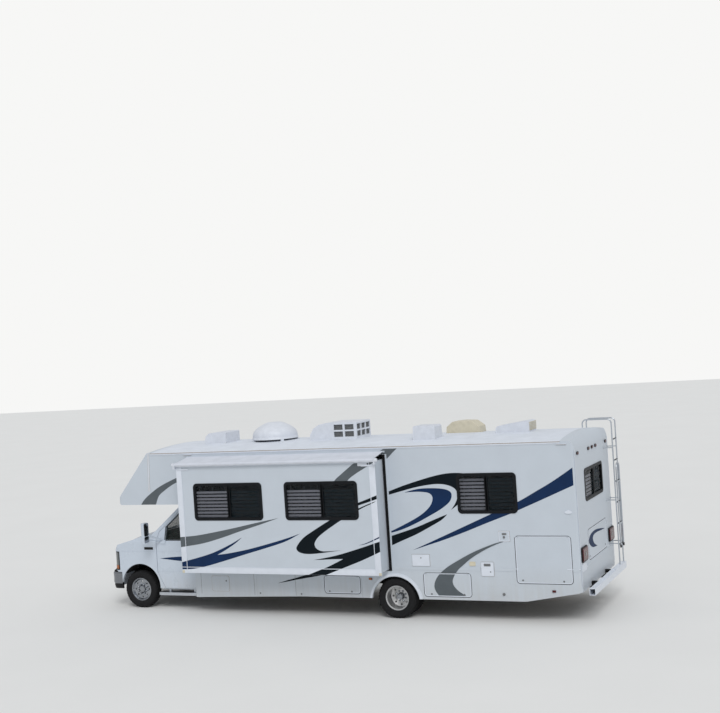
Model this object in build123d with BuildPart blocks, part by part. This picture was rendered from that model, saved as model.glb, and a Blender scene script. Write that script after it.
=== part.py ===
from build123d import *
import os
from math import cos, radians, sin

os.makedirs("parts", exist_ok=True)

# A motorhome built on a van cab, in millimetres. While it is drawn, X runs
# from the front axle to the rear, Y from the middle to the passenger's side
# and Z up from the ground. At the end every piece moves so that the origin
# lies on the ground under the middle of the whole vehicle.

# Running gear
WHEELBASE = 5537
TYRE_RADIUS = 360
TYRE_WIDTH = 223
RIM_RADIUS = 203
FRONT_WHEEL_Y = 881
REAR_WHEEL_Y = 990
TWIN_SPACING = 262
KINGPIN_Y = 735
KINGPIN_RADIUS = 15
SPINDLE_RADIUS = 32
RUNNING_FIT = 0.3
SEAT_FIT = 0.3
RAIL_Y = 430
RAIL_WIDTH = 70
RAIL_BOTTOM = 460
RAIL_TOP = 640
RAIL_WALL = 8
RAIL_REAR = 8840
CROSSMEMBER_HEIGHT = 75
BEARERS = (1600, 2800, 4060, WHEELBASE - 577, WHEELBASE + 498, 7620, 8810)
RECEIVER_X = (8560, 8990)
RECEIVER_Z = 424
RECEIVER_HALF = 32
RECEIVER_BORE = 26
RECEIVER_PIN = 8
RECEIVER_PIN_SETBACK = 60
HITCH_BAR = 25
BOSS_RADIUS = 40
BOSS_HEIGHT = 110
AXLE_RADIUS = 48
LEAF_HALF = 560
LEAF_THICKNESS = 30
EXHAUST_RADIUS = 27
EXHAUST_Z = 430
RIM_SEAT = 74
RIM_LIP = 19
TREAD_HALF = 96
HAND_HOLES = 8
HAND_HOLE = 17
HAND_HOLE_CIRCLE = 150
SIDE_FIT = 5

# Van cab
CAB_HALF = 1007
CAB_NOSE = -612
CAB_REAR = 1436
CAB_BOTTOM = 400
CAB_TOP = 2065
CAB_SKIN = 60
CAB_BELT = 1300
BOARD_OVERHANG = 23
BOARD_WIDTH = 155
CAB_ROOF_HALF = 872
HOOD_SKIN = 32
FENDER_BOTTOM = 705
CAB_FLOOR = 740
CAB_FLOOR_SKIN = 40
FIREWALL_X = 300
ARCH_CENTRE = (35, 430)
ARCH_RADIUS = 440
WHEELHOUSE_CENTRE = (20, 420)
WHEELHOUSE_RADIUS = 490
WHEELHOUSE_INNER = 560
HOOD_HALF = 780
HOOD_REAR = 200
HOOD_LIP = 1130
HOOD_AXIS = (182, 1412)
COWL = (302, 1408)
GRILLE_HALF = 330
GRILLE_Z = (760, 1080)
LAMP_INNER = 600
LAMP_REAR = -440
LAMP_Z = (745, 1105)
WINDSHIELD_Z = (1460, 1990)
WINDSHIELD_HALF = (800, 720)
BUMPER_NOSE = -698
BUMPER_END = -405
BUMPER_BOTTOM = 470
BUMPER_TOP = 700
BUMPER_SKIN = 60

# House
HOUSE_HALF = 1257
WALL = 40
HOUSE_REAR = 8890
WALL_REAR = 8850
WALL_FRONT = 540
OVERCAB_BOTTOM = 2065
OVERCAB_NOSE = -194
NOSE_ROUND = 90
NOSE_CORNER = 60
OVERCAB_SKIN = 30
ROOF_EDGE = 3055
ROOF_CROWN = 85
ROOF_TOP = ROOF_EDGE + ROOF_CROWN
WALL_TOP = ROOF_EDGE - 40
ROOF_FRONT = 620
ROOF_REAR = 8650
FLOOR_TOP = 860
FLOOR_THICKNESS = 80
RETURN_WALL = 25
SKIRT_FRONT = 300
SKIRT = 362
SKIRT_REAR = 520
REAR_BOTTOM = 530
REAR_ARCH_RADIUS = 455
REAR_ARCH_Z = 300
CAP_SKIN = 35
CAP_CORNER = 37
NOSE_FLAT = 4

# Slide-out room, drawn extended
SLIDE_X = (1470, 5440)
SLIDE_Z = (880, ROOF_EDGE - 225)
SLIDE_REACH = 420
SLIDE_DEPTH = 950
SLIDE_WALL = 30
SLIDE_FLANGE = 36
SLIDE_GAP = 15
SLIDE_OPENING_TOP = SLIDE_Z[1] + 55
SLIDE_TRIM = 75
TRIM_HEIGHT = 35
SLIDE_OPENING_BOTTOM = 866

# Doors and windows
GAP = 6
BAY_CORNER = 60
HINGE_INSET = 10
HINGE_PIN = 4
HINGE_BARREL = 8
HINGE_RELIEF = 12
SWING_ROOM = 8
PIN_REACH = 14
FRAME_WIDTH = 42
FRAME_PROUD = 9
GLASS = 6

# Rear
BEAM_X = (9000, 9100)
BEAM_Z = (490, 600)
BEAM_HALF = 1250
BEAM_WALL = 5
LADDER_X = 9060
LADDER_Y = (905, 1215)
LADDER_TOP = ROOF_TOP + 100
LADDER_TUBE = 25
FOLD_X = 9096
HATCH_Y = (-650, 730)
HATCH_Z = (960, 1480)
REAR_WINDOW_Y = (-665, 665)
REAR_WINDOW_Z = (1960, 2520)

# Roof
AC_X = (3600, 4570)
AC_HALF = 350
DOME_CENTRE = (2680, 0)
DOME_RADIUS = 430
DOME_HEIGHT = 320
DOME_STAND = 30
DOME_RIM = ROOF_TOP + DOME_STAND
AC_HEIGHT = 310
AC_SHELL = 25
AC_SIDE = (
    (AC_X[0], ROOF_TOP - 40),
    (AC_X[0] + 10, ROOF_TOP + 90),
    (AC_X[0] + 80, ROOF_TOP + AC_HEIGHT - 100),
    (AC_X[0] + 200, ROOF_TOP + AC_HEIGHT - 30),
    (AC_X[0] + 350, ROOF_TOP + AC_HEIGHT - 2),
    (AC_X[0] + 500, ROOF_TOP + AC_HEIGHT),
    (AC_X[1] - 10, ROOF_TOP + AC_HEIGHT),
    (AC_X[1], ROOF_TOP + AC_HEIGHT - 10),
    (AC_X[1], ROOF_TOP - 40),
)

LEFT = -1
RIGHT = 1
SLIDE_FACE = -(HOUSE_HALF + SLIDE_REACH)
MIRROR_REACH = 395
ROLLER_RADIUS = 33
ROLLER_Y = SLIDE_FACE - ROLLER_RADIUS - 3
ROLLER_Z = SLIDE_Z[1] + 32
ROLLER_OVERHANG = 90
RAIL_HEIGHT = (ROOF_EDGE - 105, ROOF_EDGE - 75)
MIDDLE_X = (BUMPER_NOSE + BEAM_X[1] + 8) / 2
MIDDLE_Y = (ROLLER_Y - ROLLER_RADIUS + CAB_HALF + MIRROR_REACH) / 2
HUB_Z = TYRE_RADIUS
FLOOR_BOTTOM = FLOOR_TOP - FLOOR_THICKNESS
INNER_HALF = HOUSE_HALF - WALL

# Crossmembers: X of the middle, Z of the underside
CROSSMEMBERS = (
    (-560, 480),
    (1150, 480),
    (1800, 468),
    (3700, 557),
    (WHEELBASE - 837, 520),
    (WHEELBASE + 583, 480),
    (8300, 480),
)
EXHAUST_HANGERS = CROSSMEMBERS[1:3]

# Windows in the house walls: X low, X high, Z low, Z high, X of the bar
LEFT_WINDOWS = ((6800, 7870, 1858, 2553, 7330),)
RIGHT_WINDOWS = (
    (1800, 2900, 1750, 2450, 2350),
    (WHEELBASE - 237, WHEELBASE + 863, 1858, 2553, WHEELBASE + 313),
    (7500, 8200, 1858, 2400, 7850),
)
SLIDE_WINDOWS = (
    (1780, 3220, 1820, 2508, 2522),
    (3674, 5114, 1820, 2508, 4416),
)

# Compartment doors: name, side, X low, X high, Z low, Z high
BAYS = (
    ("bay_door_front", LEFT, WHEELBASE - 1386, WHEELBASE - 672, 428, 750),
    ("bay_door_middle", LEFT, WHEELBASE + 545, WHEELBASE + 1419, 412, 828),
    ("bay_door_rear", LEFT, HOUSE_REAR - 1115, HOUSE_REAR - 145, 667, 1475),
    ("bay_door_right", RIGHT, WHEELBASE + 763, WHEELBASE + 1963, 420, 770),
)
ENTRY_X = (WHEELBASE - 1257, WHEELBASE - 617)
ENTRY_Z = (640, 2620)

# Raised plates on the left wall: X low, X high, Z low, Z high, height, corner
PLATES = (
    (1798, 2171, 425, 710, 4, 40),
    (5889, 6221, 942, 1151, 8, 10),
    (6941, 7062, 952, 1038, 6, 15),
    (7148, 7382, 781, 1029, 8, 12),
    (7502, 7693, 1382, 1555, 8, 10),
)
SKIRT_SEAMS = (2758, 3711, WHEELBASE - 643)
MOULDING_Z = (875, 925)
MOULDING_PROUD = 6
LEFT_MOULDINGS = ((SLIDE_X[1] + 95, 7140), (7390, 7765), (8755, 8850))
TRIM_PROUD = 8
STEP_X = (ENTRY_X[0] + 50, ENTRY_X[1] - 120)
STEP_WELL_X = (ENTRY_X[0] + 10, ENTRY_X[1] - 10)
STEP_WELL_Y = 850
STEP_WALL = 15
STEP_Z = (330, 355)
BOX_WALL = 10
BOX_DEPTH = 610
AWNING_X = (3040, WHEELBASE + 1023)
AWNING_Z = ROOF_EDGE - 190
AWNING_RADIUS = 55
LADDER_LOW_RUNG = 950
LADDER_STEP = (ROOF_EDGE - 195 - LADDER_LOW_RUNG) / 5
LADDER_RUNGS = [LADDER_LOW_RUNG + n * LADDER_STEP for n in range(6)]
LADDER_FEET = (980, 1770, ROOF_EDGE - 335)
REAR_LIGHT_Z = (ROOF_EDGE - 243, ROOF_EDGE - 207)
REAR_LIGHTS = (-1050, -262, 0, 262, 1050)

# Covers on the roof: Y low, Y high, then the outline from the side, as X and
# the height above the top of the roof
COVERS = (
    (-400, 150, ((1330, -60), (1330, 60), (1350, 135), (1420, 195), (1560, 210),
                 (1790, 210), (1800, 195), (1800, -60))),
    (-780, -400, ((5860, -80), (5872, 195), (5895, 220), (6260, 220), (6280, 195),
                  (6290, -80))),
    (50, 430, ((6200, -60), (6215, 120), (6330, 210), (6480, 220), (6700, 210),
               (6835, 110), (6850, -60))),
    (-200, 250, ((7230, -60), (7230, 85), (7260, 120), (7800, 200), (7850, 180),
                 (7850, -60))),
)

# The front cap over the cab: its brow, the slope up to the roof, its underside
BROW = (-156, 2230)
SLOPE_TOP = (590, ROOF_TOP + 2)
SLOPE = (SLOPE_TOP[0] - BROW[0]) / (SLOPE_TOP[1] - BROW[1])
CHIN_X = OVERCAB_NOSE + NOSE_ROUND
OVERCAB_SIDE = (
    BROW,
    SLOPE_TOP,
    (ROOF_FRONT, SLOPE_TOP[1]),
    (ROOF_FRONT, WALL_TOP),
    (WALL_FRONT, WALL_TOP),
    (WALL_FRONT, OVERCAB_BOTTOM),
    (CHIN_X, OVERCAB_BOTTOM),
)
FRONT_LIGHT_Z = ROOF_EDGE - 155

CAB_SIDE = (
    (CAB_NOSE, CAB_BOTTOM),
    (CAB_NOSE, 760),
    (-578, 1120),
    (-480, 1240),
    (224, 1430),
    COWL,
    (1049, CAB_TOP),
    (CAB_REAR, CAB_TOP),
    (CAB_REAR, CAB_BOTTOM),
)
DOOR_OUTLINE = (
    (430, 720),
    (430, 1300),
    (500, 1498),
    (991, 1930),
    (1395, 1930),
    (1408, 1900),
    (1408, 400),
    (590, 400),
)
DOOR_BACK = (
    (1400, 300),
    (1440, 300),
    (1440, 1960),
    (1391, 1960),
    (1400, 1250),
)
DOOR_AXIS_X = 446
DOOR_PINS = ((665, 745), (1270, 1340))
MIRROR_X = (362, 442)
MIRROR_Y = (CAB_HALF + MIRROR_REACH - 165, CAB_HALF + MIRROR_REACH)
MIRROR_CORNER = 34
MIRROR_Z = (1335, 1720)
STEERING_WHEEL = (780, -420, 1200)
COLUMN_ANGLE = 35
SEAT_SIDE = (
    (740, 900),
    (740, 1000),
    (1180, 1010),
    (1290, 1650),
    (1400, 1650),
    (1330, 900),
)
DOOR_WINDOW = (
    (640, 1340),
    (662, 1594),
    (975, 1869),
    (1330, 1869),
    (1330, 1340),
)


def block(x, y, z, mode=Mode.ADD):
    """Straight block between the low and high ends of x, y and z."""
    middle = ((x[0] + x[1]) / 2, (y[0] + y[1]) / 2, (z[0] + z[1]) / 2)
    with Locations(middle):
        Box(x[1] - x[0], y[1] - y[0], z[1] - z[0], mode=mode)


def sides(side, near, far):
    """Low and high Y of a layer that lies near to far from the middle."""
    return (near, far) if side > 0 else (-far, -near)


def side_view(y):
    """Sketch plane where x is X and y is Z, at this Y, facing -Y."""
    return Plane.XZ.offset(-y)


def rear_view(x):
    """Sketch plane where x is Y and y is Z, at this X, facing +X."""
    return Plane.YZ.offset(x)


def finish(builder, label):
    """Move a drawn piece to the vehicle's frame, name it and write it."""
    piece = builder.part.moved(Location((-MIDDLE_X, -MIDDLE_Y, 0)))
    piece.label = label
    export_step(piece, f"parts/{label}.step")


def cab_section(inset):
    """The cab from behind, drawn in by inset: upright below the belt, leaning above."""
    half = CAB_HALF - inset
    roof = CAB_ROOF_HALF - inset
    top = CAB_TOP - inset
    Polygon(
        (-half, CAB_BOTTOM - 50),
        (half, CAB_BOTTOM - 50),
        (half, CAB_BELT),
        (roof, top),
        (-roof, top),
        (-half, CAB_BELT),
        align=None,
    )


def cab_plan(inset):
    """The cab from above, drawn in by inset, with its nose corners rounded."""
    length = CAB_REAR - CAB_NOSE
    width = 2 * (CAB_HALF - inset)
    with Locations(((CAB_NOSE + CAB_REAR) / 2 + length / 2, 0)):
        RectangleRounded(2 * length - 2 * inset, width, 190 - inset)


def cab_form(inset):
    """The van body as one solid, drawn in by inset on every side."""
    with BuildPart() as form:
        with BuildSketch(side_view(0)):
            with BuildLine():
                Polyline(*CAB_SIDE, close=True)
            make_face()
            if inset:
                offset(amount=-inset, kind=Kind.INTERSECTION)
        extrude(amount=CAB_HALF + 10, both=True)
        with BuildSketch(rear_view(CAB_NOSE - 10)):
            cab_section(inset)
        extrude(amount=CAB_REAR - CAB_NOSE + 20, mode=Mode.INTERSECT)
        with BuildSketch(Plane.XY.offset(CAB_BOTTOM - 50)):
            cab_plan(inset)
        extrude(amount=CAB_TOP, mode=Mode.INTERSECT)
    return form.part


def cab_hole():
    """Take the cab's inner section out of a sketch seen from behind."""
    half = CAB_HALF - CAB_SKIN
    roof_half = CAB_ROOF_HALF - CAB_SKIN
    top = CAB_TOP - CAB_SKIN
    Polygon(
        (-half, CAB_BOTTOM + CAB_SKIN),
        (half, CAB_BOTTOM + CAB_SKIN),
        (half, CAB_BELT),
        (roof_half, top),
        (-roof_half, top),
        (-half, CAB_BELT),
        align=None,
        mode=Mode.SUBTRACT,
    )


def door_prism(outline, shrink, side):
    """A door's or door window's outline as a prism through one side of the cab."""
    with BuildPart() as prism:
        with BuildSketch(side_view(side * (CAB_HALF + 50))):
            with BuildLine():
                Polyline(*outline, close=True)
            make_face()
            if shrink:
                offset(amount=-shrink, kind=Kind.INTERSECTION)
        extrude(amount=side * 350)
    return prism.part


def wall_outline():
    """A house wall from the side: over the cab, along the roof, the skirt."""
    with BuildLine() as outline:
        l1 = Line((WALL_FRONT, OVERCAB_BOTTOM), (WALL_FRONT, WALL_TOP))
        l2 = Line(l1 @ 1, (WALL_REAR - 170, WALL_TOP))
        l3 = RadiusArc(l2 @ 1, (WALL_REAR, WALL_TOP - 170), 170)
        Polyline(
            l3 @ 1,
            (WALL_REAR, SKIRT_REAR),
            (7914, SKIRT),
            (3700, SKIRT),
            (CAB_REAR, SKIRT_FRONT),
            (CAB_REAR, OVERCAB_BOTTOM),
            (WALL_FRONT, OVERCAB_BOTTOM),
        )
    make_face(outline.edges())


def window_hole(plane, u, v, depth):
    """Cut a window's hole through a wall whose outer face is the plane."""
    with BuildSketch(plane) as hole:
        with Locations(((u[0] + u[1]) / 2, (v[0] + v[1]) / 2)):
            RectangleRounded(u[1] - u[0] - 30, v[1] - v[0] - 30, 60)
    extrude(hole.sketch, amount=depth, both=True, mode=Mode.SUBTRACT)


def window_frame(plane, out, u, v, bar, depth):
    """A window's frame: a proud rim, a sleeve through the wall and a bar."""
    width, height = u[1] - u[0], v[1] - v[0]
    middle = ((u[0] + u[1]) / 2, (v[0] + v[1]) / 2)
    clear_width, clear_height = width - 2 * FRAME_WIDTH, height - 2 * FRAME_WIDTH
    with BuildSketch(plane) as rim:
        with Locations(middle):
            RectangleRounded(width, height, 75)
            RectangleRounded(clear_width, clear_height, 40, mode=Mode.SUBTRACT)
    extrude(rim.sketch, amount=out * FRAME_PROUD)
    with BuildSketch(plane) as sleeve:
        with Locations(middle):
            RectangleRounded(width - 30, height - 30, 60)
            RectangleRounded(clear_width, clear_height, 40, mode=Mode.SUBTRACT)
    extrude(sleeve.sketch, amount=-out * depth)
    with BuildSketch(plane.offset(-out * 14)) as upright:
        with Locations((bar, middle[1])):
            Rectangle(36, clear_height + 4)
    extrude(upright.sketch, amount=out * 12)


def window_pane(plane, out, u, v):
    """A window's glass, in its frame behind the bar."""
    seat = 2 * (FRAME_WIDTH + SEAT_FIT)
    with BuildSketch(plane.offset(-out * (15 + GLASS))) as pane:
        with Locations(((u[0] + u[1]) / 2, (v[0] + v[1]) / 2)):
            RectangleRounded(u[1] - u[0] - seat, v[1] - v[0] - seat, 40)
    extrude(pane.sketch, amount=out * GLASS)


def crown_section(half, low):
    """The house from behind above low: upright sides and the crowned roof."""
    with BuildLine() as outline:
        Polyline((half, ROOF_EDGE), (half, low), (-half, low), (-half, ROOF_EDGE))
        ThreePointArc((-half, ROOF_EDGE), (0, ROOF_EDGE + ROOF_CROWN), (half, ROOF_EDGE))
    make_face(outline.edges())


def windshield_prism(shrink):
    """The windshield's outline from in front, as a prism through the slope."""
    low, high = WINDSHIELD_Z[0] + shrink, WINDSHIELD_Z[1] - shrink
    wide, narrow = WINDSHIELD_HALF[0] - shrink, WINDSHIELD_HALF[1] - shrink
    with BuildPart() as prism:
        with BuildSketch(rear_view(FIREWALL_X - 60)):
            Polygon((-wide, low), (wide, low), (narrow, high), (-narrow, high), align=None)
        extrude(amount=900)
    return prism.part


def shell_piece(outer_inset, inner_inset, x, y, z):
    """The part of the cab between two insets that lies in a box."""
    with BuildPart() as piece:
        add(cab_form(outer_inset))
        add(cab_form(inner_inset), mode=Mode.SUBTRACT)
        block(x, y, z, Mode.INTERSECT)
    return piece.part


def tyre_profile(y):
    """Half section of a tyre whose middle is at this Y, above the hub's line."""
    seat = HUB_Z + RIM_RADIUS + SEAT_FIT
    lip = seat + RIM_LIP
    top = HUB_Z + TYRE_RADIUS
    bulge = (seat + top) / 2 + 3
    shoulder = top - 12
    with BuildLine() as outline:
        Line((y - RIM_SEAT + SEAT_FIT, seat), (y + RIM_SEAT - SEAT_FIT, seat))
        for a in (-1, 1):
            Polyline(
                (y + a * (RIM_SEAT - SEAT_FIT), seat),
                (y + a * (RIM_SEAT - SEAT_FIT), lip),
                (y + a * (RIM_SEAT + 12), lip),
            )
            ThreePointArc(
                (y + a * (RIM_SEAT + 12), lip),
                (y + a * TYRE_WIDTH / 2, bulge),
                (y + a * TREAD_HALF, shoulder),
            )
            Line((y + a * TREAD_HALF, shoulder), (y + a * (TREAD_HALF - 16), top))
        Line((y - TREAD_HALF + 16, top), (y + TREAD_HALF - 16, top))
    make_face(outline.edges())


def wheel_profile(side, middle, points):
    """A wheel's half section from (outward, radius) points about its middle."""
    Polygon(*((side * (middle + a), HUB_Z + r) for a, r in points), align=None)


def rod(start, end, radius, mode=Mode.ADD):
    """Round bar from start to end."""
    path = Vector(*end) - Vector(*start)
    with BuildSketch(Plane(origin=start, z_dir=path)) as outline:
        Circle(radius)
    extrude(outline.sketch, amount=path.length, mode=mode)


# Chassis frame

with BuildPart() as chassis:
    for side in (LEFT, RIGHT):
        rail_y = sides(side, RAIL_Y - RAIL_WIDTH / 2, RAIL_Y + RAIL_WIDTH / 2)
        inner_y = sides(side, RAIL_Y - RAIL_WIDTH, RAIL_Y + RAIL_WIDTH / 2 - RAIL_WALL)
        block((BUMPER_NOSE + BUMPER_SKIN, RAIL_REAR), rail_y, (RAIL_BOTTOM, RAIL_TOP))
        block(
            (BUMPER_NOSE, 8900),
            inner_y,
            (RAIL_BOTTOM + RAIL_WALL, RAIL_TOP - RAIL_WALL),
            Mode.SUBTRACT,
        )
        block((8700, BEAM_X[0]), rail_y, (RAIL_BOTTOM, REAR_BOTTOM - GAP))
finish(chassis, "chassis")

# Crossmembers between the rails and the floor's bearers on top of them

rail_inside = RAIL_Y + RAIL_WIDTH / 2 - RAIL_WALL
with BuildPart() as crossmembers:
    for x, z in CROSSMEMBERS:
        block((x - 35, x + 35), (-rail_inside, rail_inside), (z, z + CROSSMEMBER_HEIGHT))
    for x in BEARERS:
        block((x - 25, x + 25), (-INNER_HALF, INNER_HALF), (RAIL_TOP, FLOOR_BOTTOM))
finish(crossmembers, "crossmembers")

# Hitch receiver with the bar that carries it in the rails

with BuildPart() as receiver:
    tube = (-RECEIVER_HALF, RECEIVER_HALF)
    block(RECEIVER_X, tube, (RECEIVER_Z - RECEIVER_HALF, RECEIVER_Z + RECEIVER_HALF))
    bore = (-RECEIVER_BORE, RECEIVER_BORE)
    bore_x = (RECEIVER_X[0] - 10, RECEIVER_X[1] + 10)
    block(bore_x, bore, (RECEIVER_Z - RECEIVER_BORE, RECEIVER_Z + RECEIVER_BORE), Mode.SUBTRACT)
    hitch_x = (RECEIVER_X[0] + 10, RECEIVER_X[0] + 70)
    hitch_z = (RAIL_BOTTOM + RAIL_WALL, RAIL_BOTTOM + RAIL_WALL + HITCH_BAR)
    block(hitch_x, (-rail_inside, rail_inside), hitch_z)
    block(hitch_x, tube, (RECEIVER_Z + RECEIVER_HALF, hitch_z[1]))
    with Locations((RECEIVER_X[1] - RECEIVER_PIN_SETBACK, 0, RECEIVER_Z)):
        Cylinder(RECEIVER_PIN, 100, rotation=(90, 0, 0), mode=Mode.SUBTRACT)
finish(receiver, "receiver")

# Engine and gearbox, as one plain block

with BuildPart() as engine:
    block((-330, 260), (-280, 280), (575, 1040))
    block((260, 1000), (-190, 190), (575, 690))
    mount_reach = RAIL_Y + RAIL_WIDTH / 2 - RAIL_WALL
    block((-40, 40), (-mount_reach, mount_reach), (585, RAIL_TOP - RAIL_WALL))
finish(engine, "engine")

# Front axle with its coil springs

with BuildPart() as front_axle:
    block((-45, 45), (-KINGPIN_Y, KINGPIN_Y), (HUB_Z - 45, HUB_Z + 40))
    for side in (LEFT, RIGHT):
        with Locations((0, side * KINGPIN_Y, HUB_Z)):
            Cylinder(BOSS_RADIUS, BOSS_HEIGHT)
            Cylinder(KINGPIN_RADIUS + RUNNING_FIT, BOSS_HEIGHT, mode=Mode.SUBTRACT)
        with Locations((0, side * RAIL_Y, (HUB_Z + 40 + RAIL_BOTTOM) / 2)):
            Cylinder(58, RAIL_BOTTOM - HUB_Z - 40)
finish(front_axle, "front_axle")

# Rear axle with its differential, leaf springs and drive shaft

with BuildPart() as rear_axle:
    with Locations((WHEELBASE, 0, HUB_Z)):
        Cylinder(AXLE_RADIUS, 2 * (REAR_WHEEL_Y - 18 - SIDE_FIT), rotation=(90, 0, 0))
        Sphere(150)
    for side in (LEFT, RIGHT):
        with BuildSketch(side_view(side * RAIL_Y)):
            with BuildLine():
                ends = (WHEELBASE - LEAF_HALF, WHEELBASE + LEAF_HALF)
                low = RAIL_BOTTOM - LEAF_THICKNESS
                saddle = (WHEELBASE, HUB_Z + AXLE_RADIUS - 8)
                ThreePointArc((ends[0], low), saddle, (ends[1], low))
                Line((ends[1], low), (ends[1], RAIL_BOTTOM))
                ThreePointArc(
                    (ends[1], RAIL_BOTTOM),
                    (WHEELBASE, HUB_Z + AXLE_RADIUS + LEAF_THICKNESS),
                    (ends[0], RAIL_BOTTOM),
                )
                Line((ends[0], RAIL_BOTTOM), (ends[0], low))
            make_face()
        extrude(amount=30, both=True)
        for x in ends:
            hanger_y = sides(side, RAIL_Y - 30, RAIL_Y + 30)
            block((x - 30, x + 30), hanger_y, (RAIL_BOTTOM - LEAF_THICKNESS, RAIL_BOTTOM))
    rod((1004, 0, 632), (WHEELBASE - 60, 0, HUB_Z + 60), 32)
finish(rear_axle, "rear_axle")

# Exhaust with its flat muffler

with BuildPart() as exhaust:
    with BuildLine() as exhaust_path:
        FilletPolyline(
            (700, 190, EXHAUST_Z),
            (700, 320, EXHAUST_Z),
            (WHEELBASE - 1137, 320, EXHAUST_Z),
            (WHEELBASE - 747, 340, 400),
            (WHEELBASE - 657, 900, 322),
            (WHEELBASE - 657, 1290, 305),
            radius=80,
        )
    with BuildSketch(Plane(origin=exhaust_path.line @ 0, z_dir=exhaust_path.line % 0)):
        Circle(EXHAUST_RADIUS)
    sweep()
    with BuildSketch(rear_view(2450)):
        with Locations((320, EXHAUST_Z - 30)):
            RectangleRounded(200, 110, 50)
    extrude(amount=900)
    for x, z in EXHAUST_HANGERS:
        rod((x, 320, EXHAUST_Z), (x, 320, z), 6)
finish(exhaust, "exhaust")

# Fuel tank outside the left rail, holding tanks between the rails

with BuildPart() as tanks:
    with BuildSketch(rear_view(1800)):
        with Locations((-(RAIL_Y + RAIL_WIDTH / 2 + 325), RAIL_TOP - 120)):
            RectangleRounded(620, 240, 60)
    extrude(amount=1300)
    for x in (
        (WHEELBASE + 643, WHEELBASE + 1533),
        (WHEELBASE + 1593, WHEELBASE + 2043),
    ):
        with BuildSketch(rear_view(x[0])):
            with Locations((0, FLOOR_BOTTOM - 100)):
                RectangleRounded(720, 200, 30)
        extrude(amount=x[1] - x[0])
finish(tanks, "tanks")

# Steering knuckles

with BuildPart() as knuckle:
    ear_top = BOSS_HEIGHT / 2 + SIDE_FIT
    for z in ((HUB_Z + ear_top, HUB_Z + ear_top + 30), (HUB_Z - ear_top - 30, HUB_Z - ear_top)):
        block((-35, 35), (KINGPIN_Y - 30, KINGPIN_Y + 65), z)
    block((-35, 35), (KINGPIN_Y + 48, KINGPIN_Y + 65), (HUB_Z - ear_top - 30, HUB_Z + ear_top + 30))
    with Locations((0, KINGPIN_Y, HUB_Z)):
        Cylinder(KINGPIN_RADIUS, 2 * ear_top + 60)
    spindle_end = FRONT_WHEEL_Y + 21 - SIDE_FIT
    rod((0, KINGPIN_Y + 60, HUB_Z), (0, spindle_end, HUB_Z), SPINDLE_RADIUS)
for side, label in ((LEFT, "left_knuckle"), (RIGHT, "right_knuckle")):
    with BuildPart() as one_knuckle:
        add(knuckle.part if side > 0 else mirror(knuckle.part, about=Plane.XZ))
    finish(one_knuckle, label)

# Wheels and tyres: name, X, side, outward positions of the tyres, wheel section

bore = SPINDLE_RADIUS + RUNNING_FIT
FRONT_WHEEL = (
    (21, 0), (21, bore), (-30, bore), (-30, 68), (16, 84), (18, 174), (-82, 192), (-82, 222),
    (-74, 222), (-74, 203), (74, 203), (74, 222), (82, 222), (82, 213), (44, 186), (34, 128),
    (38, 80), (66, 62), (76, 40), (78, 0),
)
hub_bore = AXLE_RADIUS + RUNNING_FIT
REAR_WHEEL = (
    (-18, 0), (-18, hub_bore), (-105, hub_bore), (-105, 66), (-16, 72), (-16, 128), (-42, 184),
    (-213, 194), (-213, 222), (-205, 222), (-205, 203), (-57, 203), (-57, 222), (-49, 222),
    (-49, 198), (-24, 190), (0, 135), (24, 190), (49, 198), (49, 222), (57, 222), (57, 203),
    (205, 203), (205, 222), (213, 222), (213, 213), (206, 196), (40, 184), (14, 128), (20, 66),
    (112, 52), (120, 30), (122, 0),
)
TWINS = (REAR_WHEEL_Y - TWIN_SPACING / 2, REAR_WHEEL_Y + TWIN_SPACING / 2)
WHEELS = (
    ("front_left", 0, LEFT, (FRONT_WHEEL_Y,), FRONT_WHEEL_Y, FRONT_WHEEL),
    ("front_right", 0, RIGHT, (FRONT_WHEEL_Y,), FRONT_WHEEL_Y, FRONT_WHEEL),
    ("rear_left", WHEELBASE, LEFT, TWINS, REAR_WHEEL_Y, REAR_WHEEL),
    ("rear_right", WHEELBASE, RIGHT, TWINS, REAR_WHEEL_Y, REAR_WHEEL),
)
for name, x, side, tyre_places, middle, section in WHEELS:
    hub_line = Axis((x, 0, HUB_Z), (0, 1, 0))
    with BuildPart() as tyres:
        with BuildSketch(rear_view(x)):
            for place in tyre_places:
                tyre_profile(side * place)
        revolve(axis=hub_line)
    finish(tyres, f"{name}_tyre")
    with BuildPart() as wheel:
        with BuildSketch(rear_view(x)):
            wheel_profile(side, middle, section)
        revolve(axis=hub_line)
        with Locations(Plane(origin=(x, side * middle, HUB_Z), z_dir=(0, side, 0))):
            with PolarLocations(HAND_HOLE_CIRCLE, HAND_HOLES):
                Cylinder(HAND_HOLE, 200, mode=Mode.SUBTRACT)
    finish(wheel, f"{name}_wheel")

# Cab body: skins, floor, firewall, wheelhouses

with BuildPart() as cab_shell:
    add(cab_form(0))
    add(cab_form(CAB_SKIN), mode=Mode.SUBTRACT)
    with BuildSketch(rear_view(CAB_REAR - 2 * CAB_SKIN)):
        cab_section(CAB_SKIN)
    extrude(amount=3 * CAB_SKIN, mode=Mode.SUBTRACT)
    with BuildSketch(Plane.XY.offset(CAB_BOTTOM - 10)):
        cab_plan(CAB_SKIN)
    extrude(amount=CAB_SKIN + 20, mode=Mode.SUBTRACT)

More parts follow.
